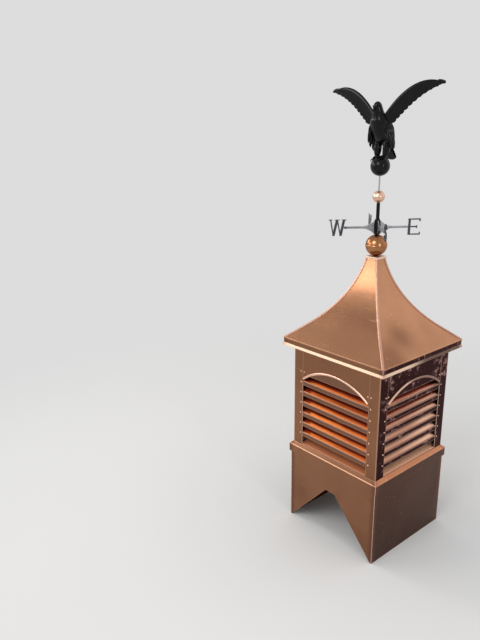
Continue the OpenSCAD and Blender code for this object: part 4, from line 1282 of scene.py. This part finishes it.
def bird_wing(s, name):
    """One raised wing: a lofted blade with two sides in relief, and rows of long feathers laid over it."""
    tip_x = TIP_X / math.cos(WING_SWEEP)
    lead = [(20, 187), (0.32 * tip_x, 273), (0.66 * tip_x, TIP_Z + 42), (tip_x, TIP_Z)]
    trail = [(20, 127), (0.34 * tip_x, 181), (0.585 * tip_x, TIP_Z - 30), (tip_x, TIP_Z)]

    def place(x, z, d):
        return np.array((s * (x * math.cos(WING_SWEEP) + d * math.sin(WING_SWEEP)),
                         WING_Y + x * math.sin(WING_SWEEP) - d * math.cos(WING_SWEEP), z))

    form = curve([[1.0, 0.0], [0.9, 0.12], [0.5, 0.32], [0.2, 0.5], [0.06, 0.40], [0.0, 0.0], [0.06, -0.40],
                  [0.2, -0.5], [0.5, -0.32], [0.9, -0.12], [1.0, 0.0]], 8)[:-1]
    steps, end, cover = 130, 0.985, 0.955
    rings = []
    for j in range(steps + 1):
        t = end * j / steps
        a, b = bezier(lead, t), bezier(trail, min(1.0, t + 0.02))
        thick = 11.5 * (1 - 0.62 * t) * min(1.0, 0.3 + np.linalg.norm(b - a) / 30)
        ring = []
        for f, h in form:
            x, z = a + (b - a) * f * cover
            lift = 0.5 * smooth(f / 0.3) * smooth((1 - f) / 0.15)
            relief = lift * (scales(t * 15 + 0.5 * f, 3.2 * f + 4) - 0.5) * (1 if h > 0 else -1)
            ring.append(place(x, z, thick * h + relief))
        rings.append(ring)
    shape = Shape(GLOBE_Z).add(*skin(rings))
    # Rows of feathers: how far back they reach, their length, widths at the root and tip, thickness and depth
    rows = ((1.0, 0.70, (42, 12), 3.2, 0.0),
            (0.74, 0.50, (34, 10), 2.6, 1.2), (0.74, 0.50, (34, 10), 2.6, -1.2),
            (0.50, 0.30, (28, 8), 2.6, 2.6), (0.50, 0.30, (28, 8), 2.6, -2.6))
    feathers = 11
    for reach, length, (broad, slim), thick, depth in rows:
        for i in range(feathers):
            t = i / (feathers - 1)
            fade = 1 - 0.6 * t
            tip = bezier(lead, 0.12 + 0.82 * t) * (1 - reach) + bezier(trail, 0.17 + 0.83 * t) * reach
            root = bezier(lead, 0.06 + 0.78 * t) * length + tip * (1 - length)
            width = broad + (slim - broad) * t
            depths = (depth * fade + 0.25 * (i % 2), depth * fade * 0.55)
            shape.add(*feather(root, tip, 5 * fade, width, thick, place, depths, 0.7, 0.2))
    shape.casting("bird_" + name + "_wing_casting", "bird_" + name + "_wing")


def globe():
    """Ball with a fine groove round its middle."""
    profile = []
    for a in half_turn(80):
        h = GLOBE_R * math.sin(a)
        groove = 0.5 * math.exp(-(h / 0.9) ** 2)
        profile.append((max(ROD_HOLE, GLOBE_R * math.cos(a) - groove), h))
    Shape().add(*lathe(profile, GLOBE_Z, 112)).casting("globe_casting", "vane_globe", 50)


skirts()
notch_hems()
collar_path = collar()
posts()
arch_panels()
arch_beads()
louvers()
sills()
rivets()
soffit()
fascia_path = fascia()
roof()
hip_caps()
cap()
solder_seams(collar_path, fascia_path)
balls()
hub_and_tube()
arms()
globe()
bird_body()
bird_legs()
bird_tail()
bird_wing(1, "left")
bird_wing(-1, "right")

rod = NODES["mast_rod"].data.materials
rod.clear()
rod.append(STEEL)


# Camera, floor and light, in metres

def stand(name, data):
    """Put an object of the studio into the scene."""
    obj = bpy.data.objects.new(name, data)
    bpy.context.scene.collection.objects.link(obj)
    return obj


camera = stand("camera", bpy.data.cameras.new("camera"))
camera.data.sensor_fit = "VERTICAL"
camera.data.sensor_width = camera.data.sensor_height = 36
camera.data.lens = 33.75
camera_place = (1.5055, -1.9500, 1.6997)
camera_right = (0.63742, 0.77033, -0.01711)
camera_up = (-0.21574, 0.19975, 0.95580)
camera_back = (0.73970, -0.60555, 0.29352)
turn = Matrix((camera_right, camera_up, camera_back)).transposed().to_4x4()
camera.matrix_world = Matrix.Translation(camera_place) @ turn
bpy.context.scene.camera = camera


def floor():
    """Pale floor that fades out into the backdrop colour far from the object."""
    mesh = bpy.data.meshes.new("floor")
    radii, parts = [1.0, 3.0, 6.0, 12.0, 24.0], 48
    verts = [(r * math.cos(a), r * math.sin(a), 0) for r in radii for a in around(parts)] + [(0, 0, 0)]
    middle = [[len(verts) - 1, k, (k + 1) % parts] for k in range(parts)]
    mesh.from_pydata(verts, [], quads(len(radii) - 1, parts) + middle)
    s = Shader("floor")
    tone = s.mix(s.noise(0.8, 4, 0.5), (0.70, 0.70, 0.70), (0.74, 0.74, 0.74))
    mesh.materials.append(s.set(color=tone, rough=0.8, metal=0.0, specular=0.1))
    away = s.ramp(s.length(s.coord), 0.9, 3.2)
    clear = s.node("BsdfTransparent").outputs[0]
    fade = s.node("MixShader", [(0, away), (1, s.bsdf.outputs[0]), (2, clear)])
    s.put(fade.outputs[0], s.out.inputs[0])
    stand("floor", mesh)


def area(name, where, aim, size, power, color=(1, 1, 1)):
    light = bpy.data.lights.new(name, "AREA")
    light.shape = "RECTANGLE"
    light.size, light.size_y = size
    light.energy = power
    light.color = color
    obj = stand(name, light)
    obj.location = where
    obj.rotation_euler = (Vector(aim) - Vector(where)).to_track_quat("-Z", "Y").to_euler()


def world():
    """Plain surround in the backdrop's colour, the same for the camera, for metal and for gloss."""
    made = bpy.data.worlds.new("studio")
    made.use_nodes = True
    made.node_tree.nodes["Background"].inputs["Color"].default_value = (*BACKDROP, 1)
    bpy.context.scene.world = made


floor()
area("key", (-4.6, -5.2, 3.25), (0, 0, 1.15), (3.2, 2.1), 76, (1.0, 0.97, 0.88))
area("spark", (3.6, -0.9, 2.2), (0, 0, 1.5), (0.45, 0.45), 12)
area("high", (0.5, -3.9, 3.9), (0, 0, 0.6), (2.4, 2.4), 70)
area("side", (-4.4, -1.4, 3.1), (0, 0, 0.7), (1.6, 1.6), 42, (1.0, 0.95, 0.88))
area("back", (1.6, 3.3, 2.8), (0, 0, 1.0), (4.0, 4.0), 14)
world()

bpy.context.scene.view_settings.view_transform = "Standard"
